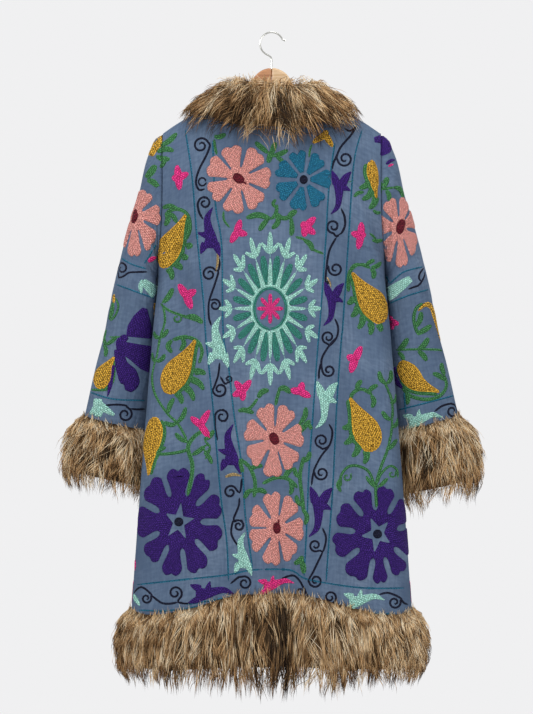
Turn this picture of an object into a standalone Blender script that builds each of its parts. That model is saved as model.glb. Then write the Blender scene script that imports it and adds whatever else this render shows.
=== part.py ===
"""A knee-length embroidered coat with a fur collar, cuffs and hem, on a wooden hanger.

Metres, +Z up. The origin is where the hanger's hook rests on what carries it, and the
coat's back faces -Y. The cloth panels are walls between an outer and an inner grid of
points. Each grid follows the coat's form: oval sections below the arms, and above them a
roof that falls away on both sides of the shoulder line.
"""

import math

import bmesh
import bpy
import numpy as np

# Cloth, seams and pile
CLOTH = 0.0024
SEAM = 0.0003
OVAL = 2.4
SLEEVE_OVAL = 2.2

# Shoulder line, height = -(top + slope * x + curve * x * x), where the two sides meet
SHOULDER_TOP = 0.108
SHOULDER_SLOPE = 0.061
SHOULDER_CURVE = 1.67
SHOULDER_HALF = 0.200
ROOF_DROP = 0.130

# Neckline, a round cut below the shoulder line
NECK_HALF = 0.075
NECK_DROP = {"back": 0.022, "front": 0.085}

# Body sections from the hem up. Above the underarm the width is that of the oval that
# the panel would follow if the armhole were not cut out of it.
UNDERARM = -0.425
BODY = [
    {"height": -1.070, "half_width": 0.258, "back": 0.088, "front": 0.082},
    {"height": -0.886, "half_width": 0.245, "back": 0.085, "front": 0.079},
    {"height": -0.718, "half_width": 0.232, "back": 0.081, "front": 0.076},
    {"height": -0.549, "half_width": 0.218, "back": 0.077, "front": 0.073},
    {"height": -0.425, "half_width": 0.208, "back": 0.075, "front": 0.071},
    {"height": -0.300, "half_width": 0.224, "back": 0.074, "front": 0.070},
    {"height": -0.180, "half_width": 0.234, "back": 0.073, "front": 0.069},
]
ARMHOLE = [
    {"height": -0.425, "half_width": 0.208},
    {"height": -0.365, "half_width": 0.201},
    {"height": -0.290, "half_width": 0.198},
    {"height": -0.188, "half_width": 0.200},
]

# Hem line by share of the way from the centre to the side seam
HEM = [
    {"share": 0.00, "back": -1.024, "front": -1.046},
    {"share": 0.25, "back": -1.031, "front": -1.052},
    {"share": 0.50, "back": -1.053, "front": -1.062},
    {"share": 0.75, "back": -1.068, "front": -1.069},
    {"share": 1.00, "back": -1.062, "front": -1.062},
]

# Front edges stand a little apart, more at the hem than at the neck
OPENING_HALF = {"neck": 0.004, "hem": 0.011}

# Rows and columns of the panels
ROOF_ROWS = 6
ARMHOLE_ROWS = 5
SKIRT_ROWS = 11
NECK_COLUMNS = 5
SIDE_COLUMNS = 7
ROOF_CROWD = 3
NECK_CROWD = 1.3
EVEN_FROM = 0.4

# Folds of a panel. share runs from -1 to 1 across the back and from 0 to 1 on a front,
# lean is how far it moves sideways from the top to the foot, and depth is outwards.
BACK_FOLDS = [
    {"share": -0.80, "lean": 0.04, "width": 0.020, "depth": 0.010, "top": -0.30, "foot": -0.98},
    {"share": -0.66, "lean": -0.05, "width": 0.024, "depth": -0.008, "top": -0.26, "foot": -0.74},
    {"share": -0.47, "lean": 0.02, "width": 0.022, "depth": 0.008, "top": -0.44, "foot": -1.10},
    {"share": -0.26, "lean": 0.03, "width": 0.020, "depth": -0.009, "top": -0.56, "foot": -1.10},
    {"share": -0.05, "lean": -0.02, "width": 0.017, "depth": 0.008, "top": -0.86, "foot": -1.10},
    {"share": 0.10, "lean": 0.02, "width": 0.015, "depth": -0.007, "top": -0.90, "foot": -1.10},
    {"share": 0.28, "lean": 0.05, "width": 0.024, "depth": 0.008, "top": -0.60, "foot": -1.10},
    {"share": 0.55, "lean": 0.04, "width": 0.026, "depth": -0.008, "top": -0.42, "foot": -1.10},
    {"share": 0.77, "lean": 0.02, "width": 0.022, "depth": 0.010, "top": -0.28, "foot": -0.92},
]
FRONT_FOLDS = [
    {"share": 0.20, "lean": 0.04, "width": 0.022, "depth": 0.008, "top": -0.50, "foot": -1.10},
    {"share": 0.44, "lean": 0.06, "width": 0.026, "depth": -0.009, "top": -0.34, "foot": -1.10},
    {"share": 0.66, "lean": 0.03, "width": 0.022, "depth": 0.008, "top": -0.46, "foot": -1.10},
    {"share": 0.84, "lean": -0.02, "width": 0.020, "depth": -0.007, "top": -0.30, "foot": -0.90},
]
FOLD_FADE = 0.10
FOLD_SIDE_SHARE = 0.10

# Sleeve rings from the shoulder to the cuff seam, by the two ends of each ring seen from
# behind. The ring before the first is the armhole itself.
SLEEVE = [
    {"outer": (0.2150, -0.199), "inner": (0.2155, -0.4180), "centre": 0.000, "depth": 0.042},
    {"outer": (0.2330, -0.243), "inner": (0.2185, -0.4270), "centre": 0.003, "depth": 0.050},
    {"outer": (0.2550, -0.322), "inner": (0.2200, -0.4440), "centre": 0.009, "depth": 0.058},
    {"outer": (0.2780, -0.412), "inner": (0.2190, -0.4790), "centre": 0.020, "depth": 0.060},
    {"outer": (0.2990, -0.500), "inner": (0.2140, -0.5380), "centre": 0.036, "depth": 0.057},
    {"outer": (0.3200, -0.590), "inner": (0.2180, -0.6180), "centre": 0.050, "depth": 0.053},
    {"outer": (0.3460, -0.700), "inner": (0.2330, -0.7330), "centre": 0.060, "depth": 0.049},
]
SLEEVE_RINGS = 12
SLEEVE_CLEAR = 0.007
CLEAR_FADE = 0.030
CUFF_CLEAR = 0.012
CUFF_THICK = 0.008

# Sleeve creases. turn is the place round the sleeve, 0 at the back of the arm and 0.25 at
# the outer line, and along is the place from the shoulder to the cuff.
SLEEVE_FOLDS = [
    {"turn": 0.06, "along": 0.30, "reach": 0.20, "width": 0.07, "depth": -0.006},
    {"turn": 0.90, "along": 0.42, "reach": 0.12, "width": 0.09, "depth": -0.007},
    {"turn": 0.02, "along": 0.58, "reach": 0.10, "width": 0.10, "depth": 0.006},
    {"turn": 0.55, "along": 0.52, "reach": 0.14, "width": 0.09, "depth": -0.007},
    {"turn": 0.15, "along": 0.76, "reach": 0.16, "width": 0.07, "depth": -0.004},
    {"turn": 0.45, "along": 0.78, "reach": 0.14, "width": 0.08, "depth": 0.005},
]

# Fur sections. drop is the share of the way from the seam to the fur's lower edge, pile
# is the height over the cloth and back the thickness over its inner side.
HEM_FOOT = -1.192
CUFF_LENGTH = 0.132
HEM_PILE = [
    {"drop": 0.00, "pile": 0.004, "back": 0.000},
    {"drop": 0.06, "pile": 0.018, "back": 0.000},
    {"drop": 0.22, "pile": 0.028, "back": 0.000},
    {"drop": 0.45, "pile": 0.034, "back": 0.001},
    {"drop": 0.68, "pile": 0.032, "back": 0.003},
    {"drop": 0.88, "pile": 0.024, "back": 0.006},
    {"drop": 1.00, "pile": 0.014, "back": 0.010},
]
CUFF_PILE = [
    {"drop": 0.00, "pile": 0.004, "back": 0.000},
    {"drop": 0.08, "pile": 0.024, "back": 0.000},
    {"drop": 0.25, "pile": 0.038, "back": 0.000},
    {"drop": 0.48, "pile": 0.046, "back": 0.002},
    {"drop": 0.70, "pile": 0.045, "back": 0.004},
    {"drop": 0.89, "pile": 0.034, "back": 0.005},
    {"drop": 1.00, "pile": 0.020, "back": 0.007},
]
TUFT = 0.0030
TUFT_TIP = 0.006

# Fur collar. reach is the share of the way from the neckline to the collar's edge, rise
# goes straight up and lift away from the cloth below.
COLLAR_EDGE_HALF = 0.157
COLLAR_EDGE_DROP = {"back": 0.078, "front": 0.168}
COLLAR_PILE = [
    {"reach": 0.00, "rise": 0.004, "lift": 0.000},
    {"reach": 0.00, "rise": 0.018, "lift": 0.001},
    {"reach": 0.06, "rise": 0.029, "lift": 0.005},
    {"reach": 0.24, "rise": 0.027, "lift": 0.012},
    {"reach": 0.46, "rise": 0.018, "lift": 0.019},
    {"reach": 0.70, "rise": 0.010, "lift": 0.023},
    {"reach": 0.92, "rise": 0.002, "lift": 0.022},
    {"reach": 1.04, "rise": -0.004, "lift": 0.014},
]
COLLAR_CLEAR = 0.0016
COLLAR_COLUMNS = 56
COLLAR_CROWD = 1.3

# Hanger
HOOK_WIRE = 0.0032
HOOK_RADIUS = 0.0215
HOOK_TIP_TURN = 22
HOOK_FLARE = 0.006
STEM_TOP = -0.052
STEM_FOOT = -0.081
BORE_CLEAR = 0.0003
DOME_TOP = -0.065
DOME_RADIUS = 0.039
WOOD = 0.014
WOOD_EDGE = 0.0035
ARM_BELOW = 0.0042
ARM_END = 0.176
ARM_HEIGHT = {"neck": 0.030, "end": 0.019}
ARM_START = 0.052

COLOURS = {
    "cloth": (0.105, 0.140, 0.215),
    "fur": (0.330, 0.215, 0.110),
    "light_wood": (0.640, 0.400, 0.190),
    "red_wood": (0.500, 0.210, 0.085),
    "steel": (0.620, 0.620, 0.600),
}
ROUGHNESS = {"cloth": 0.9, "fur": 0.8, "light_wood": 0.45, "red_wood": 0.45, "steel": 0.25}


def column(rows, name):
    """One named column of a table, as an array."""
    return np.array([row[name] for row in rows], float)


def smooth(at, places, values):
    """The value at a place on the smooth curve through a table's points."""
    order = np.argsort(places)
    places, values = np.asarray(places)[order], np.asarray(values)[order]
    slopes = np.gradient(values, places)
    k = np.clip(np.searchsorted(places, at) - 1, 0, len(places) - 2)
    step = places[k + 1] - places[k]
    t = np.clip((at - places[k]) / step, 0, 1)
    return (
        (1 + 2 * t) * (1 - t) ** 2 * values[k]
        + t * (1 - t) ** 2 * step * slopes[k]
        + t**2 * (3 - 2 * t) * values[k + 1]
        + t**2 * (t - 1) * step * slopes[k + 1]
    )


def fade(value):
    """0 below 0, 1 above 1, and smooth between them."""
    t = np.clip(value, 0, 1)
    return t * t * (3 - 2 * t)


def unit(vectors):
    return vectors / np.linalg.norm(vectors, axis=-1, keepdims=True)


def shoulder_line(x):
    return -(SHOULDER_TOP + SHOULDER_SLOPE * np.abs(x) + SHOULDER_CURVE * x * x)


def half_width(height):
    return smooth(height, column(BODY, "height"), column(BODY, "half_width"))


def edge_half_width(height):
    """Half of the panel's width: the side seam below the underarm, the armhole above it."""
    armhole = smooth(height, column(ARMHOLE, "height"), column(ARMHOLE, "half_width"))
    return np.where(height > UNDERARM, armhole, half_width(height))


def body_depth(x, height, drop, side):
    """How far the cloth stands from the seam plane at x, a drop below the shoulder line."""
    share = np.clip(np.abs(x) / half_width(height), 0, 1)
    roof = np.clip(drop / ROOF_DROP, 0, 1)
    depth = smooth(height, column(BODY, "height"), column(BODY, side))
    return depth * (1 - share**OVAL) ** (1 / OVAL) * np.sqrt(1 - (1 - roof) ** 2)


def neck_drop(x, side):
    return NECK_DROP[side] * np.clip(1 - (x / NECK_HALF) ** 2, 0, 1)


def falls():
    """Shares of the way from a panel's top edge to its hem, one for each row."""
    tip = shoulder_line(SHOULDER_HALF)
    length = tip - HEM[-1]["back"]
    roof = ROOF_DROP / length
    underarm = (tip - UNDERARM) / length
    rows = [roof * (k / ROOF_ROWS) ** ROOF_CROWD for k in range(ROOF_ROWS)]
    rows += list(np.linspace(roof, underarm, ARMHOLE_ROWS, endpoint=False))
    rows += list(np.linspace(underarm, 1, SKIRT_ROWS + 1))
    return rows


def shares(fall):
    """Column places of a row from the centre, 0, to the side, 1. They crowd to the neck
    point at the neckline, and are even at the hem."""
    neck = NECK_HALF / SHOULDER_HALF
    inner = neck * (1 - np.linspace(1, 0, NECK_COLUMNS, endpoint=False) ** NECK_CROWD)
    crowded = np.concatenate([inner, np.linspace(neck, 1, SIDE_COLUMNS + 1)])
    even = np.linspace(0, 1, NECK_COLUMNS + SIDE_COLUMNS + 1)
    return crowded + (even - crowded) * fade(fall / EVEN_FROM)


def panel_row(share, fall, side):
    """Points of one row, from the centre to the side. Their spacing goes by width at the
    shoulder line, and by the length of the cloth from the foot of the roof down."""
    tip, foot = shoulder_line(SHOULDER_HALF), HEM[-1][side]
    by_length = fade(fall * (tip - foot) / ROOF_DROP)
    edge = float(edge_half_width(tip - fall * (tip - foot)))
    hem = column(HEM, "share"), column(HEM, side)

    def heights(part):
        top_x = part * SHOULDER_HALF
        top = shoulder_line(top_x) - neck_drop(top_x, side)
        height = top - fall * (top - smooth(part, *hem))
        return height, shoulder_line(top_x) - height

    bend = np.linspace(0, 1, 241)
    x = edge * (1 - (1 - bend) ** 2)
    part = x / edge
    for _ in range(3):
        height, drop = heights(part)
        y = body_depth(x, height, drop, side)
        length = np.concatenate([[0], np.cumsum(np.hypot(np.diff(x), np.diff(y)))])
        part = x / edge * (1 - by_length) + length / length[-1] * by_length
    x = np.interp(share, part, x)
    height, drop = heights(share)
    return np.stack([x, body_depth(x, height, drop, side), height], axis=-1)


def folded(grid, places, folds, half_girth):
    """Moves a panel's points out or in along its folds, which die out at the seams."""
    out = np.zeros(places.shape)
    height = grid[..., 2]
    for fold in folds:
        way = (fold["top"] - height) / (fold["top"] - fold["foot"])
        centre = fold["share"] + fold["lean"] * np.clip(way, 0, 1)
        across = (places - centre) * half_girth / fold["width"]
        ends = fade((fold["top"] - height) / FOLD_FADE) * fade((height - fold["foot"]) / FOLD_FADE)
        out += fold["depth"] * np.exp(-(across**2)) * ends
    out *= fade((1 - np.abs(places)) / FOLD_SIDE_SHARE)
    return grid + normals(grid) * out[..., None]


def normals(grid):
    """Unit normals of a panel grid. At a seam in the plane y = 0 the cloth runs on as its
    own mirror image, so that two panels meet there face to face."""

    def ghost(edge, near):
        far = 2 * edge - near
        mirrored = near * np.array([1, -1, 1])
        on_seam = (np.abs(edge[:, 1:2]) < 1e-6) & (np.abs(near[:, 1:2]) > 1e-6)
        return np.where(on_seam, mirrored, far)

    rows = np.concatenate(
        [ghost(grid[0], grid[1])[None], grid, ghost(grid[-1], grid[-2])[None]]
    )
    columns = np.concatenate(
        [
            ghost(grid[:, 0], grid[:, 1])[:, None],
            grid,
            ghost(grid[:, -1], grid[:, -2])[:, None],
        ],
        axis=1,
    )
    down = rows[2:] - rows[:-2]
    across = columns[:, 2:] - columns[:, :-2]
    return unit(np.cross(down, across))


def panel_grid(side):
    """Rows by columns of the middle of the cloth: the whole back, or the +X front."""
    rows = falls()
    places = np.array([shares(fall) for fall in rows])
    if side == "front":
        gap = np.interp(rows, [0, 1], [OPENING_HALF["neck"], OPENING_HALF["hem"]])
        start = (gap / half_girth())[:, None]
        places = start + (1 - start) * places
    half = np.array([panel_row(share, fall, side) for share, fall in zip(places, rows)])
    if side == "front":
        return folded(half[:, ::-1], places[:, ::-1], FRONT_FOLDS, half_girth())
    left = half[:, :0:-1] * np.array([-1, 1, 1])
    grid = np.concatenate([left, half], axis=1) * np.array([1, -1, 1])
    places = np.concatenate([-places[:, :0:-1], places], axis=1)
    return folded(grid, places, BACK_FOLDS, half_girth())


def half_girth():
    """Length of the cloth from the centre of the back to the side seam at the underarm."""
    fall = falls()[ROOF_ROWS + ARMHOLE_ROWS]
    row = panel_row(np.linspace(0, 1, 60), fall, "back")
    return float(np.linalg.norm(np.diff(row, axis=0), axis=1).sum())


def clear_of_body(points, clear):
    """Moves points of the +X sleeve out until they stand clear of the coat's side."""
    height = points[..., 2]
    y = points[..., 1]
    back, front = (
        smooth(height, column(BODY, "height"), column(BODY, side)) for side in ("back", "front")
    )
    depth = np.where(y < 0, back, front)
    share = np.clip(np.abs(y) / depth, 0, 1)
    side = half_width(height) * (1 - share**OVAL) ** (1 / OVAL)
    moved = points.copy()
    below = fade((UNDERARM - height) / CLEAR_FADE)
    moved[..., 0] = np.maximum(points[..., 0], below * (side + clear))
    return moved


def armhole_loop(back, front):
    """The +X armhole as a closed loop: from the shoulder down the back, up the front."""
    last = ROOF_ROWS + ARMHOLE_ROWS
    down = back[: last + 1, -1]
    up = front[last - 1 : 0 : -1, 0]
    return np.concatenate([down, up])


def ring_turns(loop):
    """Each armhole point's turn round the sleeve: 0.25 at the shoulder, 0.75 underneath."""
    half = len(loop) // 2
    closed = np.concatenate([loop, loop[:1]])
    length = np.concatenate([[0], np.cumsum(np.linalg.norm(np.diff(closed, axis=0), axis=1))])
    back = 0.5 * length[: half + 1] / length[half]
    front = 0.5 + 0.5 * (length[half:] - length[half]) / (length[-1] - length[half])
    return 0.25 - np.concatenate([back, front[1:-1]])


def ring_shape(loop):
    """The armhole loop in a ring's own terms: the share of the way out along its long
    axis, from -1 to 1, the offset from that axis, and y."""
    half = len(loop) // 2
    middle, axis = (loop[0] + loop[half]) / 2, (loop[0] - loop[half]) / 2
    flat = (loop - middle)[:, [0, 2]]
    axis = axis[[0, 2]]
    reach = flat @ axis / (axis @ axis)
    return reach, flat - reach[:, None] * axis, loop[:, 1]


def sleeve_grid(loop):
    """Rings of the +X sleeve's middle, from the armhole to the cuff seam."""
    count = len(loop)
    places = np.linspace(0, 1, len(SLEEVE))
    loop_reach, loop_offset, loop_y = ring_shape(loop)
    rings = [loop]
    for k in range(SLEEVE_RINGS):
        along = k / (SLEEVE_RINGS - 1)
        outer, inner = (
            np.array([smooth(along, places, [row[end][axis] for row in SLEEVE]) for axis in (0, 1)])
            for end in ("outer", "inner")
        )
        centre = smooth(along, places, column(SLEEVE, "centre"))
        depth = smooth(along, places, column(SLEEVE, "depth"))
        even = 0.25 - np.arange(count) / count
        turns = ring_turns(loop) * (1 - fade(along * 3)) + even * fade(along * 3)
        angle = 2 * math.pi * turns
        reach = np.sign(np.sin(angle)) * np.abs(np.sin(angle)) ** (2 / SLEEVE_OVAL)
        girth = np.sign(np.cos(angle)) * np.abs(np.cos(angle)) ** (2 / SLEEVE_OVAL)
        keep = 1 - fade((k + 1) / 4)
        reach = reach * (1 - keep) + loop_reach * keep
        y = (centre - depth * girth) * (1 - keep) + loop_y * keep
        middle, half = (outer + inner) / 2, (outer - inner) / 2
        flat = middle + half * reach[:, None] + loop_offset * keep
        rings.append(clear_of_body(np.stack([flat[:, 0], y, flat[:, 1]], axis=-1), SLEEVE_CLEAR))
    return creased(np.array(rings))


def creased(grid):
    """The sleeve's folds, as soft troughs and ridges that lie across its length."""
    rings, count = grid.shape[:2]
    along = (np.arange(rings) / (rings - 1))[:, None]
    turn = ((0.25 - np.arange(count) / count) % 1)[None, :]
    out = np.zeros((rings, count))
    for fold in SLEEVE_FOLDS:
        round_way = (turn - fold["turn"] + 0.5) % 1 - 0.5
        slanted = along - fold["along"] - 0.25 * round_way
        out += (
            fold["depth"]
            * np.exp(-((slanted / fold["width"]) ** 2))
            * np.exp(-((round_way / fold["reach"]) ** 2))
        )
    out *= fade(along * 5) * fade((1 - along) * 6)
    return clear_of_body(grid + tube_normals(grid) * out[..., None], SLEEVE_CLEAR)


def tube_normals(grid):
    """Outward normals of a tube of rings."""
    down = np.gradient(grid, axis=0)
    around = np.roll(grid, -1, axis=1) - np.roll(grid, 1, axis=1)
    return unit(np.cross(around, down))


def seam_normals(panel_edge, sleeve_edge):
    """Normals that two walls share at a seam, so that their edges are mitred."""
    middle = unit(panel_edge + sleeve_edge)
    lean = np.sum(middle * unit(sleeve_edge), axis=-1, keepdims=True)
    return middle / np.maximum(lean, 0.7)


def coat_walls():
    """(outer, inner) grids of the back, the +X front and the +X sleeve."""
    back, front = panel_grid("back"), panel_grid("front")
    back_normals, front_normals = normals(back), normals(front)
    neck = SIDE_COLUMNS
    back_normals[0, neck] = back_normals[0, neck - 1]
    back_normals[0, -1 - neck] = back_normals[0, -neck]
    front_normals[0, neck] = front_normals[0, neck - 1]
    loop = armhole_loop(back, front)
    sleeve = sleeve_grid(loop)
    sleeve_normals = tube_normals(sleeve)
    last = ROOF_ROWS + ARMHOLE_ROWS
    edge = np.concatenate([back_normals[: last + 1, -1], front_normals[last - 1 : 0 : -1, 0]])
    away = sleeve[1] - sleeve[0]
    around = np.roll(sleeve[0], -1, axis=0) - np.roll(sleeve[0], 1, axis=0)
    shared = seam_normals(edge, unit(np.cross(around, away)))
    sleeve_normals[0] = shared
    front_edge = np.concatenate([shared[:1], shared[:last:-1], shared[last : last + 1]])
    back_normals[: last + 1, -1] = shared[: last + 1]
    back_normals[: last + 1, 0] = shared[: last + 1] * np.array([-1, 1, 1])
    front_normals[: last + 1, 0] = front_edge
    away -= shared * (np.sum(away * shared, axis=-1) / np.sum(shared * shared, axis=-1))[:, None]
    sleeve[0] += unit(away) * SEAM
    back[..., 1] -= SEAM / 2
    front[..., 1] += SEAM / 2
    half = CLOTH / 2
    return {
        "back": (back + back_normals * half, back - back_normals * half),
        "front": (front + front_normals * half, front - front_normals * half),
        "sleeve": (sleeve + sleeve_normals * half, sleeve - sleeve_normals * half),
    }


def doubled(row, closed):
    """A row of points with one more in the middle of each chord."""
    following = np.roll(row, -1, axis=0) if closed else row[1:]
    here = row if closed else row[:-1]
    points = np.stack([here, (here + following) / 2], axis=1).reshape(-1, 3)
    return points if closed else np.concatenate([points, row[-1:]])


def tuft_wave(count, closed):
    """In and out by turns round a band of fur, uneven but never random."""
    k = np.arange(count)
    wave = np.where(k % 2 == 0, -1.0, 1.0) * (0.75 + 0.25 * np.sin(k * 1.7))
    if not closed:
        wave[0] = wave[-1] = 0
    return wave


def fur_band(outer_edge, inner_edge, down, length, table, closed, pressed=0):
    """(outer, inner) grids of a band of fur that hangs from the edge of a cloth wall.
    pressed is the share of its depth that it loses where it lies against the body."""
    outer_edge, inner_edge = doubled(outer_edge, closed), doubled(inner_edge, closed)
    length = outer_edge[:, 2:] - HEM_FOOT if length is None else length
    out = unit(outer_edge - inner_edge)
    out = unit(out - down * np.sum(out * down, axis=-1, keepdims=True))
    room = 1 - pressed * np.clip(-out[:, :1], 0, 1) ** 2
    wave = tuft_wave(len(out), closed)[:, None]
    outer, inner = [], []
    for k, row in enumerate(table):
        tip = k / (len(table) - 1)
        relief = TUFT * wave * math.sin(math.pi * min(tip * 1.4, 1) / 2) * (k > 0)
        drop = SEAM + row["drop"] * length + TUFT_TIP * wave * tip**4
        outer.append(outer_edge + out * ((row["pile"] - CLOTH) * room + relief) + down * drop)
        inner.append(inner_edge + out * row["back"] * room + down * drop)
    return np.array(outer), np.array(inner)


def neck_point(turn, reach):
    """(point, normal) on the cloth below the collar. turn is 0 at the centre of the back,
    1 at the shoulder and 2 at the front edge, on the +X side."""
    side = "back" if turn <= 1 else "front"
    angle = math.pi / 2 * (1 - abs(1 - turn) ** COLLAR_CROWD)
    half = NECK_HALF + (COLLAR_EDGE_HALF - NECK_HALF) * reach
    deep = NECK_DROP[side] + (COLLAR_EDGE_DROP[side] - NECK_DROP[side]) * reach

    def cloth(across, drop):
        height = shoulder_line(across) - drop
        y = body_depth(across, height, drop, side) * (-1 if side == "back" else 1)
        return np.array([across, y, height], float)

    x, drop = half * math.sin(angle), deep * math.cos(angle) ** (2 - 0.8 * min(reach, 1))
    step = 1e-4
    here = cloth(x, drop)
    normal = np.cross(cloth(x + step, drop) - here, cloth(x, drop + step) - here)
    normal = unit(normal) if side == "front" else -unit(normal)
    if normal[2] < 0:
        normal = -normal
    ridge = unit(np.array([SHOULDER_SLOPE + 2 * SHOULDER_CURVE * x, 0, 1]))
    near = 1 - fade(drop / 0.004)
    return here, unit(normal * (1 - near) + ridge * near)


def collar_grids():
    """(outer, inner) grids of the fur collar, from one front edge round to the other."""
    end_angle = math.asin(OPENING_HALF["neck"] / NECK_HALF)
    last = 1 + (1 - 2 / math.pi * end_angle) ** (1 / COLLAR_CROWD)
    turns = np.linspace(-last, last, COLLAR_COLUMNS + 1)
    wave = tuft_wave(len(turns), False)
    outer, inner = [], []
    for row_number, row in enumerate(COLLAR_PILE):
        outer_row, inner_row = [], []
        shown = fade((row["lift"] - 0.004) / 0.008)
        for turn, tuft in zip(turns, wave):
            mirror = np.array([-1 if turn < 0 else 1, 1, 1])
            reach = max(row["reach"], row_number * 0.001)
            point, normal = neck_point(abs(turn), reach)
            lifted = point + normal * (COLLAR_CLEAR + CLOTH / 2 + row["lift"] + TUFT * tuft * shown)
            lifted = lifted + np.array([0, 0, row["rise"]])
            under_reach = min(reach, 1.0) * 0.995 + 0.005
            below, below_normal = neck_point(abs(turn), under_reach)
            under = below + below_normal * (COLLAR_CLEAR + CLOTH / 2)
            outer_row.append(lifted * mirror)
            inner_row.append(under * mirror)
        outer.append(outer_row)
        inner.append(inner_row)
    return np.array(outer), np.array(inner)


def material(name):
    found = bpy.data.materials.get(name)
    if found:
        return found
    made = bpy.data.materials.new(name)
    made.use_nodes = True
    shader = made.node_tree.nodes["Principled BSDF"]
    shader.inputs["Base Color"].default_value = (*COLOURS[name], 1)
    shader.inputs["Roughness"].default_value = ROUGHNESS[name]
    shader.inputs["Metallic"].default_value = 1.0 if name == "steel" else 0.0
    return made


def add(name, mesh, finish, collection):
    obj = bpy.data.objects.new(name, mesh)
    mesh.materials.append(material(finish))
    mesh.shade_smooth()
    mesh.set_sharp_from_angle(angle=math.radians(40))
    collection.objects.link(obj)
    return obj


def wall(name, outer, inner, finish, collection, closed=False):
    """A solid between two grids of the same size, with rims along their open edges."""
    rows, count = outer.shape[:2]
    points = np.concatenate([outer.reshape(-1, 3), inner.reshape(-1, 3)])
    strips = count if closed else count - 1

    def corner(layer, row, place):
        return layer * rows * count + row * count + place % count

    faces = []
    for row in range(rows - 1):
        for place in range(strips):
            here, below = (row, place), (row + 1, place)
            across_below, across = (row + 1, place + 1), (row, place + 1)
            faces.append([corner(0, *spot) for spot in (here, below, across_below, across)])
            faces.append([corner(1, *spot) for spot in (here, across, across_below, below)])
    for row in (0, rows - 1):
        for place in range(strips):
            rim = [(0, row, place + 1), (1, row, place + 1), (1, row, place), (0, row, place)]
            faces.append([corner(*spot) for spot in (rim if row == 0 else reversed(rim))])
    if not closed:
        for place in (0, count - 1):
            for row in range(rows - 1):
                rim = [(0, row, place), (1, row, place), (1, row + 1, place), (0, row + 1, place)]
                faces.append([corner(*spot) for spot in (rim if place == 0 else reversed(rim))])
    mesh = bpy.data.meshes.new(name)
    mesh.from_pydata(points.tolist(), [], faces)
    face_outwards(mesh)
    return add(name, mesh, finish, collection)


def face_outwards(mesh):
    shape = bmesh.new()
    shape.from_mesh(mesh)
    bmesh.ops.recalc_face_normals(shape, faces=shape.faces)
    if shape.calc_volume(signed=True) < 0:
        bmesh.ops.reverse_faces(shape, faces=shape.faces)
    shape.to_mesh(mesh)
    shape.free()


def mirrored(grids):
    return tuple(grid * np.array([-1, 1, 1]) for grid in grids)


def hook_path():
    """Points and thickness of the hook's wire: stem, bend, round top and ball end."""
    centre = np.array([0.0, -(HOOK_RADIUS - HOOK_WIRE / 2)])
    turns = np.radians(np.linspace(HOOK_TIP_TURN, 222, 17))
    arc = [centre + HOOK_RADIUS * np.array([math.cos(a), math.sin(a)]) for a in turns]
    tip = arc[0] + np.array([HOOK_FLARE, -0.35 * HOOK_FLARE])
    leave, arrive = arc[-1], np.array([0.0, STEM_TOP])
    bend = []
    pull = 0.013
    heading = np.array([-math.sin(turns[-1]), math.cos(turns[-1])])
    for t in np.linspace(0, 1, 8)[1:]:
        start, end = leave + pull * heading, arrive + np.array([0.0, pull])
        bend.append(
            (1 - t) ** 3 * leave
            + 3 * t * (1 - t) ** 2 * start
            + 3 * t**2 * (1 - t) * end
            + t**3 * arrive
        )
    path = [np.array([0.0, STEM_FOOT])] + bend[::-1] + arc[::-1] + [tip]
    thickness = [1.0] * (len(path) - 1) + [1.35]
    return path, thickness


def hanger_hook(collection):
    path, thickness = hook_path()
    curve = bpy.data.curves.new("hanger_hook", "CURVE")
    curve.dimensions = "3D"
    curve.bevel_depth = HOOK_WIRE / 2
    curve.bevel_resolution = 2
    curve.use_fill_caps = True
    spline = curve.splines.new("POLY")
    spline.points.add(len(path) - 1)
    for point, (x, z), thick in zip(spline.points, path, thickness):
        point.co = (x, 0, z, 1)
        point.radius = thick
    curve.materials.append(material("steel"))
    hook = bpy.data.objects.new("hanger_hook", curve)
    collection.objects.link(hook)
    return hook


def hanger_outline(side):
    """Half of the hanger seen from behind: the dome, the arm's top, its round end and the
    arm's underside back to the joint in the middle."""
    points = [(SEAM / 2, DOME_TOP)]
    for turn in np.radians(np.arange(80, 9, -10)):
        points.append((DOME_RADIUS * math.cos(turn), DOME_TOP - DOME_RADIUS * (1 - math.sin(turn))))
    xs = np.linspace(ARM_START, ARM_END, 10)
    points += [(x, float(shoulder_line(x)) - ARM_BELOW) for x in xs]
    end_height = ARM_HEIGHT["end"]
    end_z = points[-1][1]
    for turn in np.radians((60, 30, 0, -30, -60)):
        across = end_height / 2 * math.cos(turn)
        points.append((ARM_END + across, end_z - end_height / 2 * (1 - math.sin(turn))))
    for x in xs[::-1]:
        share = (x - ARM_START) / (ARM_END - ARM_START)
        height = ARM_HEIGHT["neck"] + (end_height - ARM_HEIGHT["neck"]) * share
        points.append((x, float(shoulder_line(x)) - ARM_BELOW - height))
    points.append((SEAM / 2, float(shoulder_line(0)) - ARM_BELOW - ARM_HEIGHT["neck"]))
    return [(side * x, z) for x, z in points]


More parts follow.
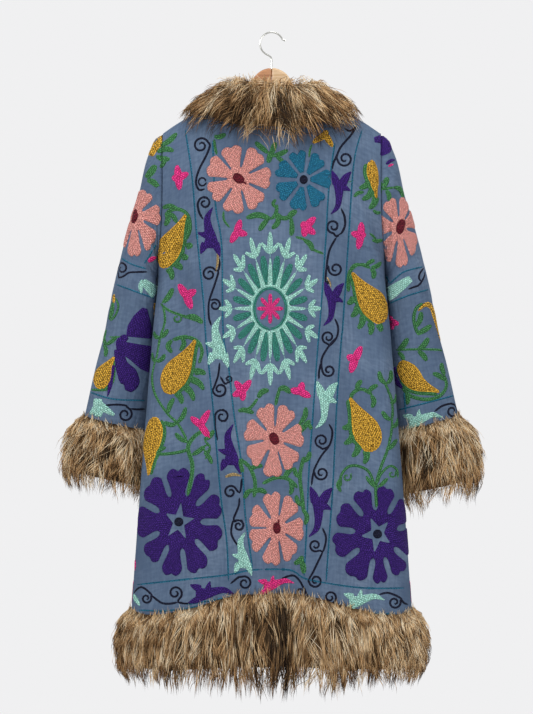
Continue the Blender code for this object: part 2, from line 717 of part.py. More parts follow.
def hanger_half(name, side, finish, collection, cutter):
    """Half of the wooden hanger: a flat outline with rounded edges and half of the bore."""
    outline = hanger_outline(side)
    shape = bmesh.new()
    front = [shape.verts.new((x, -WOOD / 2, z)) for x, z in outline]
    shape.faces.new(front)
    made = bmesh.ops.extrude_face_region(shape, geom=list(shape.faces))
    moved = [v for v in made["geom"] if isinstance(v, bmesh.types.BMVert)]
    bmesh.ops.translate(shape, verts=moved, vec=(0, WOOD, 0))
    mesh = bpy.data.meshes.new(name)
    shape.to_mesh(mesh)
    shape.free()
    face_outwards(mesh)
    half = add(name, mesh, finish, collection)
    bevel = half.modifiers.new("edges", "BEVEL")
    bevel.width = WOOD_EDGE
    bevel.segments = 2
    bevel.limit_method = "ANGLE"
    bevel.angle_limit = math.radians(60)
    cut = half.modifiers.new("bore", "BOOLEAN")
    cut.operation = "DIFFERENCE"
    cut.object = cutter
    return half


def bore_cutter(collection):
    """The round hole that takes the hook's stem, half in each piece of wood."""
    top, foot = DOME_TOP + 0.010, STEM_FOOT - BORE_CLEAR
    bpy.ops.mesh.primitive_cylinder_add(
        vertices=16,
        radius=HOOK_WIRE / 2 + BORE_CLEAR,
        depth=top - foot,
        location=(0, 0, (top + foot) / 2),
    )
    cutter = bpy.context.object
    cutter.name = "bore_cutter"
    cutter.hide_render = True
    cutter.display_type = "WIRE"
    for holder in list(cutter.users_collection):
        holder.objects.unlink(cutter)
    collection.objects.link(cutter)
    return cutter


def build():
    for obj in list(bpy.data.objects):
        bpy.data.objects.remove(obj)
    coat = bpy.data.collections.new("embroidered_coat")
    cutters = bpy.data.collections.new("cutters")
    for collection in (coat, cutters):
        bpy.context.scene.collection.children.link(collection)

    walls = coat_walls()
    wall("back", *walls["back"], "cloth", coat)
    wall("front_right", *walls["front"], "cloth", coat)
    wall("front_left", *mirrored(walls["front"]), "cloth", coat)
    wall("sleeve_right", *walls["sleeve"], "cloth", coat, closed=True)
    wall("sleeve_left", *mirrored(walls["sleeve"]), "cloth", coat, closed=True)

    down = np.array([0.0, 0.0, -1.0])
    hem = {
        side: fur_band(walls[side][0][-1], walls[side][1][-1], down, None, HEM_PILE, False)
        for side in ("back", "front")
    }
    wall("hem_fur_back", *hem["back"], "fur", coat)
    wall("hem_fur_front_right", *hem["front"], "fur", coat)
    wall("hem_fur_front_left", *mirrored(hem["front"]), "fur", coat)

    sleeve = walls["sleeve"]
    way = unit(sleeve[0][-1].mean(0) - sleeve[0][-3].mean(0))
    cuff = fur_band(sleeve[0][-1], sleeve[1][-1], way, CUFF_LENGTH, CUFF_PILE, True, 0.75)
    tip = np.linspace(0, 1, len(CUFF_PILE))[:, None]
    skin = SLEEVE_CLEAR - CLOTH / 2 + (CUFF_CLEAR - SLEEVE_CLEAR) * tip
    thick = CLOTH + CUFF_THICK * tip
    cuff = (clear_of_body(cuff[0], skin), clear_of_body(cuff[1], skin + thick))
    wall("cuff_fur_right", *cuff, "fur", coat, closed=True)
    wall("cuff_fur_left", *mirrored(cuff), "fur", coat, closed=True)

    wall("collar_fur", *collar_grids(), "fur", coat)

    cutter = bore_cutter(cutters)
    hanger_half("hanger_left", -1, "red_wood", coat, cutter)
    hanger_half("hanger_right", 1, "light_wood", coat, cutter)
    hanger_hook(coat)


build()
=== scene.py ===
import math

import bpy
import numpy as np
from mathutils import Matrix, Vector, kdtree


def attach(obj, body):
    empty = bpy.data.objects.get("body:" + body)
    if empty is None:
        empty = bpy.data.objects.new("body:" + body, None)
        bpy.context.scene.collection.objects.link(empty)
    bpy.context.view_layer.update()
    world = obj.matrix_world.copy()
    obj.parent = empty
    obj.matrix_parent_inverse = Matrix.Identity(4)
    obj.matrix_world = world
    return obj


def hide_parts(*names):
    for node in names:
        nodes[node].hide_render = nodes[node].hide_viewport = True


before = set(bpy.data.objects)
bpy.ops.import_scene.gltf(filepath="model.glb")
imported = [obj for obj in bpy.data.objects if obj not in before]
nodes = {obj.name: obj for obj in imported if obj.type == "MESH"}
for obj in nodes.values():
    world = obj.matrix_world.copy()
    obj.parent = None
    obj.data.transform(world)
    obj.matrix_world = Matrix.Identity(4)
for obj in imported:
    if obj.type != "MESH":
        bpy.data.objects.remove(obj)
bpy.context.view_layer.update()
print("coat and hanger loaded")

# The coat is seen from behind. X is to the right of the picture and the back faces -Y.
photo = {
    "width": 533,
    "height": 714,
    "distance": 3.0,
    "lens": 81.8,
    "film": 36.0,
    "aim": (-0.0095, -0.599),
    "metresPerPixel": 0.00181,  # on the cloth, which stands 70 mm nearer than the hanger
}


# Colours and nodes
def linear(hexColour):
    parts = [int(hexColour[k:k + 2], 16) / 255 for k in (1, 3, 5)]
    return tuple(c / 12.92 if c <= 0.04045 else ((c + 0.055) / 1.055) ** 2.4 for c in parts) + (1.0,)


def setNode(tree, node, settings=None, links=None):
    # A name with a small first letter is the node's own, and any other is one of its sockets
    for name, value in (settings or {}).items():
        if name == "stops":
            stops = node.color_ramp.elements
            while len(stops) < len(value):
                stops.new(0.5)
            for stop, (place, colour) in zip(stops, value):
                stop.position = place
                stop.color = linear(colour)
        elif isinstance(name, str) and name[0].islower():
            setattr(node, name, value)
        else:
            node.inputs[name].default_value = value
    # A link may come from a node, which stands for its first output
    for name, source in (links or {}).items():
        tree.links.new(source.outputs[0] if hasattr(source, "outputs") else source, node.inputs[name])
    return node


def addNode(tree, kind, settings=None, links=None):
    return setNode(tree, tree.nodes.new("ShaderNode" + kind), settings, links)


def newMaterial(name):
    made = bpy.data.materials.new(name)
    made.use_nodes = True
    tree = made.node_tree
    return made, tree, tree.nodes["Principled BSDF"]


def bandScale(pitch):
    return 0.314159 / pitch  # a wave texture's scale for one band every pitch metres


# Slate-blue cotton, plain woven and garment washed: matt, cloudy, with slubs in the yarn.
# Its real yarns are 0.5 mm apart, and they are drawn 2 mm apart so that they show.
clothLook = {
    "pitch": 0.0021,
    "worn": "#7889a1",
    "mid": "#63768f",
    "deep": "#52647e",
    "yarn": "#4c5e79",
    "roughness": 0.88,
    "warpSlubs": (210.0, 26.0, 1.0),
    "weftSlubs": (60.0, 190.0, 1.0),
    "puckers": (68.0, 30.0, 1.0),  # for each metre of cloth: 15 to 33 mm apart
    "puckerDepth": 0.0050,
    "weaveDepth": 0.0012,
}


def wovenCotton():
    made, tree, shader = newMaterial("washed slate cotton")
    uv = addNode(tree, "UVMap", {"uv_map": "cloth"})
    clouds = addNode(tree, "TexNoise", {"Scale": 9.0, "Detail": 4.0}, {"Vector": uv})
    stops = [(0.30, clothLook["deep"]), (0.52, clothLook["mid"]), (0.76, clothLook["worn"])]
    tone = addNode(tree, "ValToRGB", {"stops": stops}, {"Fac": clouds})
    warpSlubs, weftSlubs = [
        addNode(tree, "TexNoise", {"Scale": 1.0, "Detail": 3.0},
                {"Vector": addNode(tree, "Mapping", {"Scale": clothLook[name]}, {"Vector": uv})})
        for name in ("warpSlubs", "weftSlubs")
    ]
    slubs = addNode(tree, "Math", {"operation": "ADD"}, {0: warpSlubs, 1: weftSlubs})
    slubShare = addNode(tree, "MapRange", {"From Min": 0.80, "From Max": 1.22, "To Max": 0.62},
                        {"Value": slubs})
    mixed = addNode(tree, "Mix", {"data_type": "RGBA", "blend_type": "MIX", 7: linear(clothLook["yarn"])},
                    {0: slubShare, 6: tone})
    warp, weft = [
        addNode(tree, "TexWave",
                {"Scale": bandScale(clothLook["pitch"]), "bands_direction": way, "Distortion": 0.6},
                {"Vector": uv})
        for way in "XY"
    ]
    weave = addNode(tree, "Math", {"operation": "MULTIPLY"}, {0: warp.outputs["Fac"], 1: weft.outputs["Fac"]})
    relief = addNode(tree, "Math", {"operation": "ADD"}, {0: weave, 1: slubs})
    fine = addNode(tree, "Bump", {"Strength": 0.5, "Distance": clothLook["weaveDepth"]}, {"Height": relief})
    puckered = addNode(tree, "Mapping", {"Scale": clothLook["puckers"]}, {"Vector": uv})
    puckers = addNode(tree, "TexNoise", {"Scale": 1.0, "Detail": 1.5, "Distortion": 0.8},
                      {"Vector": puckered})
    bump = addNode(tree, "Bump", {"Strength": 0.6, "Distance": clothLook["puckerDepth"]},
                   {"Height": puckers, "Normal": fine})
    setNode(tree, shader, {"Roughness": clothLook["roughness"], "Specular IOR Level": 0.10},
            {"Base Color": mixed.outputs[2], "Normal": bump})
    return made


# Cotton embroidery yarn in chain stitch: rows of small loops, matt with a slight sheen.
# The real rows are about 1.3 mm apart, and they are drawn 3.0 mm apart so that they show.
threadLook = {
    "row": 0.0030,
    "stitch": 0.0046,
    "wander": 0.0010,
    "relief": 0.0014,
    "roughness": 0.75,
    "fleck": "#453614",
    "colours": {
        "pink": ("#f0ada4", "#e0988f", "#ad6660"),
        "wine": ("#7a2634", "#651d2a", "#38101a"),
        "teal": ("#2f829f", "#216f93", "#15486a"),
        "purple": ("#452880", "#38206f", "#21124a"),
        "mint": ("#bcebdf", "#a0d6c9", "#6aa498"),
        "rosetteGreen": ("#459283", "#378072", "#225a50"),
        "hotPink": ("#fa4499", "#e63384", "#a82558"),
        "mustard": ("#eeba47", "#d3a137", "#846222"),
        "gold": ("#ecb83c", "#daa432", "#a87a22"),
        "vine": ("#4f8c56", "#417c4c", "#2a5636"),
        "tealLine": ("#2f7590", "#266884", "#1a4c66"),
        "navy": ("#23263c", "#181b2e", "#0e101e"),
        "beige": ("#b9a071", "#a48c60", "#7b6848"),
    },
}
brickScale = 100.0  # bricks are measured in centimetres


def embroideryYarn(name, flecked=False):
    light, mid, dark = threadLook["colours"][name]
    made, tree, shader = newMaterial(name + " chain stitch yarn")
    uv = addNode(tree, "UVMap", {"uv_map": "threads"})
    wander = addNode(tree, "TexNoise", {"Scale": 120.0, "Detail": 2.0}, {"Vector": uv})
    sway = (threadLook["wander"], threadLook["wander"], 0.0)
    shift = addNode(tree, "VectorMath", {"operation": "MULTIPLY_ADD", 1: sway},
                    {0: wander.outputs["Color"], 2: uv})
    rows = addNode(
        tree, "TexBrick",
        {
            "offset": 0.5, "Scale": brickScale, "Mortar Size": 0.06, "Mortar Smooth": 0.5, "Bias": -0.2,
            "Brick Width": threadLook["stitch"] * brickScale, "Row Height": threadLook["row"] * brickScale,
            "Color1": linear(light), "Color2": linear(mid), "Mortar": linear(dark),
        },
        {"Vector": shift},
    )
    tone = addNode(tree, "TexNoise", {"Scale": 290.0, "Detail": 1.5}, {"Vector": uv})
    shade = addNode(tree, "MapRange", {"From Min": 0.34, "From Max": 0.66, "To Min": 0.68, "To Max": 1.28},
                    {"Value": tone})
    colour = addNode(tree, "Mix", {"data_type": "RGBA", "blend_type": "MULTIPLY", 0: 1.0},
                     {6: rows, 7: shade})
    if flecked:
        spots = addNode(tree, "TexVoronoi",
                        {"voronoi_dimensions": "2D", "Scale": 190.0, "Randomness": 0.85}, {"Vector": uv})
        near = addNode(tree, "MapRange", {"From Min": 0.15, "From Max": 0.30, "To Min": 0.88, "To Max": 0.0},
                       {"Value": spots})
        colour = addNode(tree, "Mix", {"data_type": "RGBA", 7: linear(threadLook["fleck"])},
                         {0: near, 6: colour.outputs[2]})
    loft = addNode(tree, "Math", {"operation": "SUBTRACT"}, {0: shade, 1: rows.outputs["Fac"]})
    bump = addNode(tree, "Bump", {"Strength": 0.9, "Distance": threadLook["relief"]}, {"Height": loft})
    setNode(tree, shader, {"Roughness": threadLook["roughness"], "Specular IOR Level": 0.12},
            {"Base Color": colour.outputs[2], "Normal": bump})
    return made


# Long-pile faux fur of modacrylic fibre: golden tan guard hair with dark roots and tips,
# softly shiny. u is each strand's own shade, and v runs from its root to its tip.
furLook = {
    "shades": [(0.0, "#2e241a"), (0.20, "#6c5339"), (0.44, "#c29a6b"), (0.70, "#f2d2a2"), (1.0, "#fff2d6")],
    "along": [(0.0, "#5a4c3c"), (0.14, "#a89c90"), (0.30, "#ffffff"), (0.50, "#fff6ea"), (0.68, "#a08a74"),
              (0.92, "#372b20")],
    "roughness": 0.6,
    # The underfur's stops are dark partly as painted shade deep in the pile between the locks
    "underfurAndGapShade": [(0.35, "#352819"), (0.6, "#6b5235"), (0.8, "#9a7a50")],
}


def fauxFur():
    made, tree, shader = newMaterial("modacrylic faux fur")
    uv = addNode(tree, "UVMap", {"uv_map": "strand"})
    parts = addNode(tree, "SeparateXYZ", None, {0: uv})
    shades = addNode(tree, "ValToRGB", {"stops": furLook["shades"]}, {"Fac": parts})
    half = addNode(tree, "Math", {"operation": "MULTIPLY", 1: 0.5}, {0: parts.outputs["Y"]})
    along = addNode(tree, "ValToRGB", {"stops": furLook["along"]}, {"Fac": half})
    colour = addNode(tree, "Mix", {"data_type": "RGBA", "blend_type": "MULTIPLY", 0: 1.0},
                     {6: shades, 7: along})
    setNode(tree, shader, {"Roughness": furLook["roughness"], "Specular IOR Level": 0.22},
            {"Base Color": colour.outputs[2]})
    return made


def furBackingWithGapShade():
    # Knitted polyester backing and the dense underfur on it: soft and uneven. Its dark brown is partly the
    # underfur's own colour and partly painted shade for the gaps between the locks.
    made, tree, shader = newMaterial("underfur on knitted backing")
    uv = addNode(tree, "UVMap", {"uv_map": "cloth"})
    laid = addNode(tree, "Mapping", {"Scale": (420.0, 60.0, 1.0)}, {"Vector": uv})
    tufts = addNode(tree, "TexNoise", {"Scale": 1.0, "Detail": 3.0}, {"Vector": laid})
    shade = addNode(tree, "ValToRGB", {"stops": furLook["underfurAndGapShade"]}, {"Fac": tufts})
    bump = addNode(tree, "Bump", {"Strength": 0.8, "Distance": 0.002}, {"Height": tufts})
    setNode(tree, shader, {"Roughness": 0.9}, {"Base Color": shade, "Normal": bump})
    return made


# Lacquered beech, one half stained red: fine grain along the arm, softly glossy
def lacqueredWood(name, light, dark):
    made, tree, shader = newMaterial(name)
    spot = addNode(tree, "TexCoord").outputs["Object"]
    laid = addNode(tree, "Mapping", {"Scale": (14.0, 60.0, 190.0)}, {"Vector": spot})
    grain = addNode(tree, "TexNoise", {"Scale": 1.0, "Detail": 5.0, "Distortion": 0.6}, {"Vector": laid})
    shade = addNode(tree, "ValToRGB", {"stops": [(0.34, dark), (0.62, light)]}, {"Fac": grain})
    bump = addNode(tree, "Bump", {"Strength": 0.12, "Distance": 0.0003}, {"Height": grain})
    setNode(tree, shader, {"Roughness": 0.36, "Coat Weight": 0.3, "Coat Roughness": 0.2},
            {"Base Color": shade, "Normal": bump})
    return made


def platedWire():
    # Nickel-plated steel wire: bright, with faint drawing marks along it
    made, tree, shader = newMaterial("nickel plated steel wire")
    spot = addNode(tree, "TexCoord").outputs["Object"]
    marks = addNode(tree, "TexNoise", {"Scale": 700.0, "Detail": 2.0}, {"Vector": spot})
    rough = addNode(tree, "MapRange", {"To Min": 0.14, "To Max": 0.30}, {"Value": marks})
    setNode(tree, shader, {"Base Color": linear("#cfcfca"), "Metallic": 1.0}, {"Roughness": rough})
    return made


# The coat's form. Heights are below the hook's top.
form = {
    "cloth": 0.0024,
    "inset": 0.0001,  # how far the sheets stay inside the solids' faces
    "sheet": 0.0022,
    "weld": 0.00001,
    "seam": 0.0003,
    "oval": 2.4,
    "sleeveOval": 2.2,
    "shoulderTop": 0.108,
    "shoulderSlope": 0.061,
    "shoulderCurve": 1.67,
    "shoulderHalf": 0.200,
    "roofDrop": 0.130,
    "neckHalf": 0.075,
    "neckDrop": {"back": 0.022, "front": 0.085},
    "underarm": -0.425,
    "bodyHeight": (-1.070, -0.886, -0.718, -0.549, -0.425, -0.300, -0.180),
    "bodyHalf": (0.258, 0.245, 0.232, 0.218, 0.208, 0.224, 0.234),
    "back": (0.088, 0.085, 0.081, 0.077, 0.075, 0.074, 0.073),
    "front": (0.082, 0.079, 0.076, 0.073, 0.071, 0.070, 0.069),
    "armholeHeight": (-0.425, -0.365, -0.290, -0.188),
    "armholeHalf": (0.208, 0.201, 0.198, 0.200),
    "hemShare": (0.0, 0.25, 0.5, 0.75, 1.0),
    "hemBack": (-1.024, -1.031, -1.053, -1.068, -1.062),
    "hemFront": (-1.046, -1.052, -1.062, -1.069, -1.062),
    "openingHalf": (0.004, 0.011),
    "roofRows": 14,
    "roofCrowd": 2.6,
    "armholeRows": 22,
    "skirtRows": 100,
    "halfColumns": 58,
    "neckColumns": 0.42,
    "neckCrowd": 1.3,
    "evenFrom": 0.4,  # the share of the fall where the columns have become even
    "rowSamples": 241,
}
clothFace = form["cloth"] / 2 - form["inset"]  # from the middle of the cloth to its face

# How folds and creases run out, and how the dense stitching buckles the cloth between motifs
foldLook = {
    "runOut": 0.10,
    "wander": 0.6,
    "buckle": 0.0009,
    "buckleTop": -0.16,
}

# Folds: place across from the centre, lean, width, depth outwards, top and foot
backFolds = [
    (-0.80, 0.04, 0.020, 0.010, -0.30, -0.98),
    (-0.66, -0.05, 0.024, -0.008, -0.26, -0.74),
    (-0.47, 0.02, 0.022, 0.008, -0.44, -1.10),
    (-0.26, 0.03, 0.020, -0.009, -0.56, -1.10),
    (-0.05, -0.02, 0.017, 0.008, -0.86, -1.10),
    (0.10, 0.02, 0.015, -0.007, -0.90, -1.10),
    (0.28, 0.05, 0.024, 0.008, -0.60, -1.10),
    (0.55, 0.04, 0.026, -0.008, -0.42, -1.10),
    (0.77, 0.02, 0.022, 0.010, -0.28, -0.92),
]
frontFolds = [
    (0.20, 0.04, 0.022, 0.008, -0.50, -1.10),
    (0.44, 0.06, 0.026, -0.009, -0.34, -1.10),
    (0.66, 0.03, 0.022, 0.008, -0.46, -1.10),
    (0.84, -0.02, 0.020, -0.007, -0.30, -0.90),
]

# Small creases where stitching gathers the cloth, by two ends across and down the panel
backCreases = [
    ((-0.150, -0.30), (-0.105, -0.44), 0.0050, -0.0030),
    ((-0.185, -0.36), (-0.120, -0.52), 0.0060, 0.0028),
    ((-0.178, -0.43), (-0.140, -0.66), 0.0052, -0.0030),
    ((0.182, -0.37), (0.135, -0.50), 0.0056, -0.0030),
    ((0.160, -0.28), (0.128, -0.41), 0.0048, 0.0024),
    ((0.186, -0.45), (0.150, -0.70), 0.0060, 0.0028),
    ((-0.092, -0.52), (-0.070, -0.80), 0.0045, -0.0026),
    ((0.072, -0.55), (0.062, -0.79), 0.0048, -0.0024),
    ((-0.045, -0.78), (-0.052, -1.03), 0.0042, -0.0032),
    ((0.012, -0.93), (0.022, -1.06), 0.0036, -0.0034),
    ((-0.016, -0.96), (-0.010, -1.06), 0.0036, 0.0026),
    ((0.052, -0.90), (0.066, -1.07), 0.0050, 0.0030),
    ((-0.118, -0.90), (-0.132, -1.08), 0.0050, 0.0024),
    ((0.140, -0.88), (0.160, -1.08), 0.0052, -0.0026),
    ((-0.215, -0.70), (-0.232, -0.98), 0.0060, 0.0024),
    ((0.215, -0.62), (0.238, -0.95), 0.0060, -0.0022),
    ((-0.062, -0.17), (-0.078, -0.27), 0.0042, -0.0016),
    ((0.066, -0.18), (0.084, -0.29), 0.0042, -0.0016),
]
frontCreases = [
    ((0.180, -0.36), (0.130, -0.52), 0.0056, -0.0028),
    ((0.160, -0.44), (0.120, -0.70), 0.0060, 0.0026),
    ((0.050, -0.62), (0.058, -0.92), 0.0048, -0.0026),
    ((0.205, -0.70), (0.228, -1.00), 0.0060, 0.0024),
    ((0.090, -0.84), (0.104, -1.06), 0.0050, -0.0028),
]

sleeveForm = {
    "outerX": (0.2150, 0.2330, 0.2550, 0.2800, 0.3025, 0.3250, 0.3510),
    "outerZ": (-0.199, -0.243, -0.322, -0.412, -0.502, -0.596, -0.711),
    "innerX": (0.2130, 0.2090, 0.2060, 0.2060, 0.2100, 0.2180, 0.2330),
    "innerZ": (-0.4180, -0.4270, -0.4440, -0.4790, -0.5380, -0.6200, -0.7390),
    "centre": (0.000, 0.009, 0.020, 0.032, 0.043, 0.053, 0.060),
    "depth": (0.042, 0.050, 0.058, 0.060, 0.057, 0.053, 0.049),
    "rings": 78,
    "clear": 0.0045,
    "clearFade": 0.030,
    "steps": 11,
    "headDip": (0.0036, 0.014, 0.013),  # depth, place along and width, beside the armhole seam
}
# Creases: turn round the sleeve, place along it, reach round, width along, depth outwards
sleeveFolds = [
    (0.06, 0.30, 0.20, 0.07, -0.006),
    (0.90, 0.42, 0.12, 0.09, -0.007),
    (0.02, 0.58, 0.10, 0.10, 0.006),
    (0.55, 0.52, 0.14, 0.09, -0.007),
    (0.15, 0.76, 0.16, 0.07, -0.004),
    (0.45, 0.78, 0.14, 0.08, 0.005),
]
sleeveCreases = [
    (0.98, 0.22, 0.10, 0.022, -0.0032),
    (0.03, 0.36, 0.14, 0.020, 0.0030),
    (0.95, 0.47, 0.12, 0.018, -0.0034),
    (0.08, 0.52, 0.10, 0.016, -0.0028),
    (0.90, 0.60, 0.11, 0.020, 0.0032),
    (0.12, 0.66, 0.12, 0.017, -0.0026),
    (0.02, 0.83, 0.12, 0.015, -0.0024),
    (0.55, 0.30, 0.12, 0.022, -0.0030),
    (0.50, 0.64, 0.12, 0.020, 0.0030),
    (0.42, 0.48, 0.10, 0.018, -0.0028),
]


def smooth(at, places, values):
    order = np.argsort(places)
    places, values = np.asarray(places, float)[order], np.asarray(values, float)[order]
    slopes = np.gradient(values, places)
    k = np.clip(np.searchsorted(places, at) - 1, 0, len(places) - 2)
    step = places[k + 1] - places[k]
    t = np.clip((at - places[k]) / step, 0, 1)
    start = (1 + 2 * t) * (1 - t) ** 2 * values[k] + t * (1 - t) ** 2 * step * slopes[k]
    return start + t**2 * (3 - 2 * t) * values[k + 1] + t**2 * (t - 1) * step * slopes[k + 1]


def fade(value):
    t = np.clip(value, 0, 1)
    return t * t * (3 - 2 * t)


def unit(vectors):
    return vectors / np.maximum(np.linalg.norm(vectors, axis=-1, keepdims=True), 1e-12)


def shoulderLine(x):
    return -(form["shoulderTop"] + form["shoulderSlope"] * np.abs(x) + form["shoulderCurve"] * x * x)


def halfWidth(height):
    return smooth(height, form["bodyHeight"], form["bodyHalf"])


def edgeHalfWidth(height):
    armhole = smooth(height, form["armholeHeight"], form["armholeHalf"])
    return np.where(height > form["underarm"], armhole, halfWidth(height))


def bodyDepth(x, height, drop, side):
    share = np.clip(np.abs(x) / halfWidth(height), 0, 1)
    roof = np.clip(drop / form["roofDrop"], 0, 1)
    depth = smooth(height, form["bodyHeight"], form[side])
    return depth * (1 - share ** form["oval"]) ** (1 / form["oval"]) * np.sqrt(1 - (1 - roof) ** 2)


def hemLine(side):
    return form["hemBack"] if side == "back" else form["hemFront"]


def falls():
    tip = shoulderLine(form["shoulderHalf"])
    length = tip - form["hemBack"][-1]
    roof = form["roofDrop"] / length
    underarm = (tip - form["underarm"]) / length
    rows = [roof * (k / form["roofRows"]) ** form["roofCrowd"] for k in range(form["roofRows"])]
    rows += list(np.linspace(roof, underarm, form["armholeRows"], endpoint=False))
    return rows + list(np.linspace(underarm, 1, form["skirtRows"] + 1))


def panelRow(share, fall, side):
    tip, foot = shoulderLine(form["shoulderHalf"]), hemLine(side)[-1]
    byLength = fade(fall * (tip - foot) / form["roofDrop"])
    edge = float(edgeHalfWidth(tip - fall * (tip - foot)))

    def heights(part):
        topX = part * form["shoulderHalf"]
        neck = form["neckDrop"][side] * np.clip(1 - (topX / form["neckHalf"]) ** 2, 0, 1)
        top = shoulderLine(topX) - neck
        height = top - fall * (top - smooth(part, form["hemShare"], hemLine(side)))
        return height, shoulderLine(topX) - height

    x = edge * (1 - (1 - np.linspace(0, 1, form["rowSamples"])) ** 2)
    part = x / edge
    for _ in range(3):
        height, drop = heights(part)
        y = bodyDepth(x, height, drop, side)
        length = np.concatenate([[0], np.cumsum(np.hypot(np.diff(x), np.diff(y)))])
        part = x / edge * (1 - byLength) + length / length[-1] * byLength
    x = np.interp(share, part, x)
    height, drop = heights(share)
    return np.stack([x, bodyDepth(x, height, drop, side), height], axis=-1)


def gridNormals(grid):
    # A seam in the plane y = 0 runs on as its own mirror image
    def ghost(edge, near):
        onSeam = (np.abs(edge[:, 1:2]) < 1e-6) & (np.abs(near[:, 1:2]) > 1e-6)
        return np.where(onSeam, near * np.array([1, -1, 1]), 2 * edge - near)

    rows = np.concatenate([ghost(grid[0], grid[1])[None], grid, ghost(grid[-1], grid[-2])[None]])
    left, right = ghost(grid[:, 0], grid[:, 1])[:, None], ghost(grid[:, -1], grid[:, -2])[:, None]
    columns = np.concatenate([left, grid, right], axis=1)
    return unit(np.cross(rows[2:] - rows[:-2], columns[:, 2:] - columns[:, :-2]))


def folded(grid, places, folds, creases, halfGirth):
    out = np.zeros(places.shape)
    height = grid[..., 2]
    runOut = foldLook["runOut"]
    for share, lean, width, depth, top, foot in folds:
        centre = share + lean * np.clip((top - height) / (top - foot), 0, 1)
        across = (places - centre) * halfGirth / width
        out += depth * np.exp(-(across**2)) * fade((top - height) / runOut) * fade((height - foot) / runOut)
    for (startX, startZ), (endX, endZ), width, depth in creases:
        way = np.clip((startZ - height) / (startZ - endZ), -0.2, 1.2)
        across = (places * halfGirth - startX - (endX - startX) * way) / width
        wander = foldLook["wander"] * np.sin(way * 7.0 + startX * 90)
        out += depth * np.exp(-((across + wander) ** 2)) * fade(way / 0.3 + 0.3) * fade((1.1 - way) / 0.4)
    across = places * halfGirth
    buckle = np.sin(across * 61 + 3 * np.sin(height * 17)) * np.sin(height * 43 + 2 * np.sin(across * 29))
    out += foldLook["buckle"] * buckle * fade((foldLook["buckleTop"] - height) / 0.06)
    out *= fade((1 - np.abs(places)) / runOut)
    return grid + gridNormals(grid) * out[..., None]


def halfGirthOf():
    row = panelRow(np.linspace(0, 1, 60), falls()[form["roofRows"] + form["armholeRows"]], "back")
    return float(np.linalg.norm(np.diff(row, axis=0), axis=1).sum())


def columnShares(fall):
    # Closer together near the neck point at the top, even from the chest down
    neck = form["neckHalf"] / form["shoulderHalf"]
    inner = int(form["halfColumns"] * form["neckColumns"])
    crowded = np.concatenate([
        neck * (1 - np.linspace(1, 0, inner, endpoint=False) ** form["neckCrowd"]),
        np.linspace(neck, 1, form["halfColumns"] - inner + 1),
    ])
    even = np.linspace(0, 1, form["halfColumns"] + 1)
    return crowded + (even - crowded) * fade(fall / form["evenFrom"])


def panelGrid(side):
    rows = falls()
    girth = halfGirthOf()
    places = np.array([columnShares(fall) for fall in rows])
    if side == "front":
        start = (np.interp(rows, [0, 1], form["openingHalf"]) / girth)[:, None]
        places = start + (1 - start) * places
    half = np.array([panelRow(share, fall, side) for share, fall in zip(places, rows)])
    if side == "front":
        return folded(half[:, ::-1], places[:, ::-1], frontFolds, frontCreases, girth)
    grid = np.concatenate([half[:, :0:-1] * np.array([-1, 1, 1]), half], axis=1) * np.array([1, -1, 1])
    places = np.concatenate([-places[:, :0:-1], places], axis=1)
    return folded(grid, places, backFolds, backCreases, girth)


def clearOfBody(points, clear):
    height, y = points[..., 2], points[..., 1]
    back, front = [smooth(height, form["bodyHeight"], form[side]) for side in ("back", "front")]
    depth = np.where(y < 0, back, front)
    share = np.clip(np.abs(y) / depth, 0, 1)
    side = halfWidth(height) * (1 - share ** form["oval"]) ** (1 / form["oval"])
    below = fade((form["underarm"] - height) / sleeveForm["clearFade"])
    moved = points.copy()
    moved[..., 0] = np.maximum(points[..., 0], below * (side + clear))
    return moved


def tubeNormals(grid):
    around = np.roll(grid, -1, axis=1) - np.roll(grid, 1, axis=1)
    return unit(np.cross(around, np.gradient(grid, axis=0)))


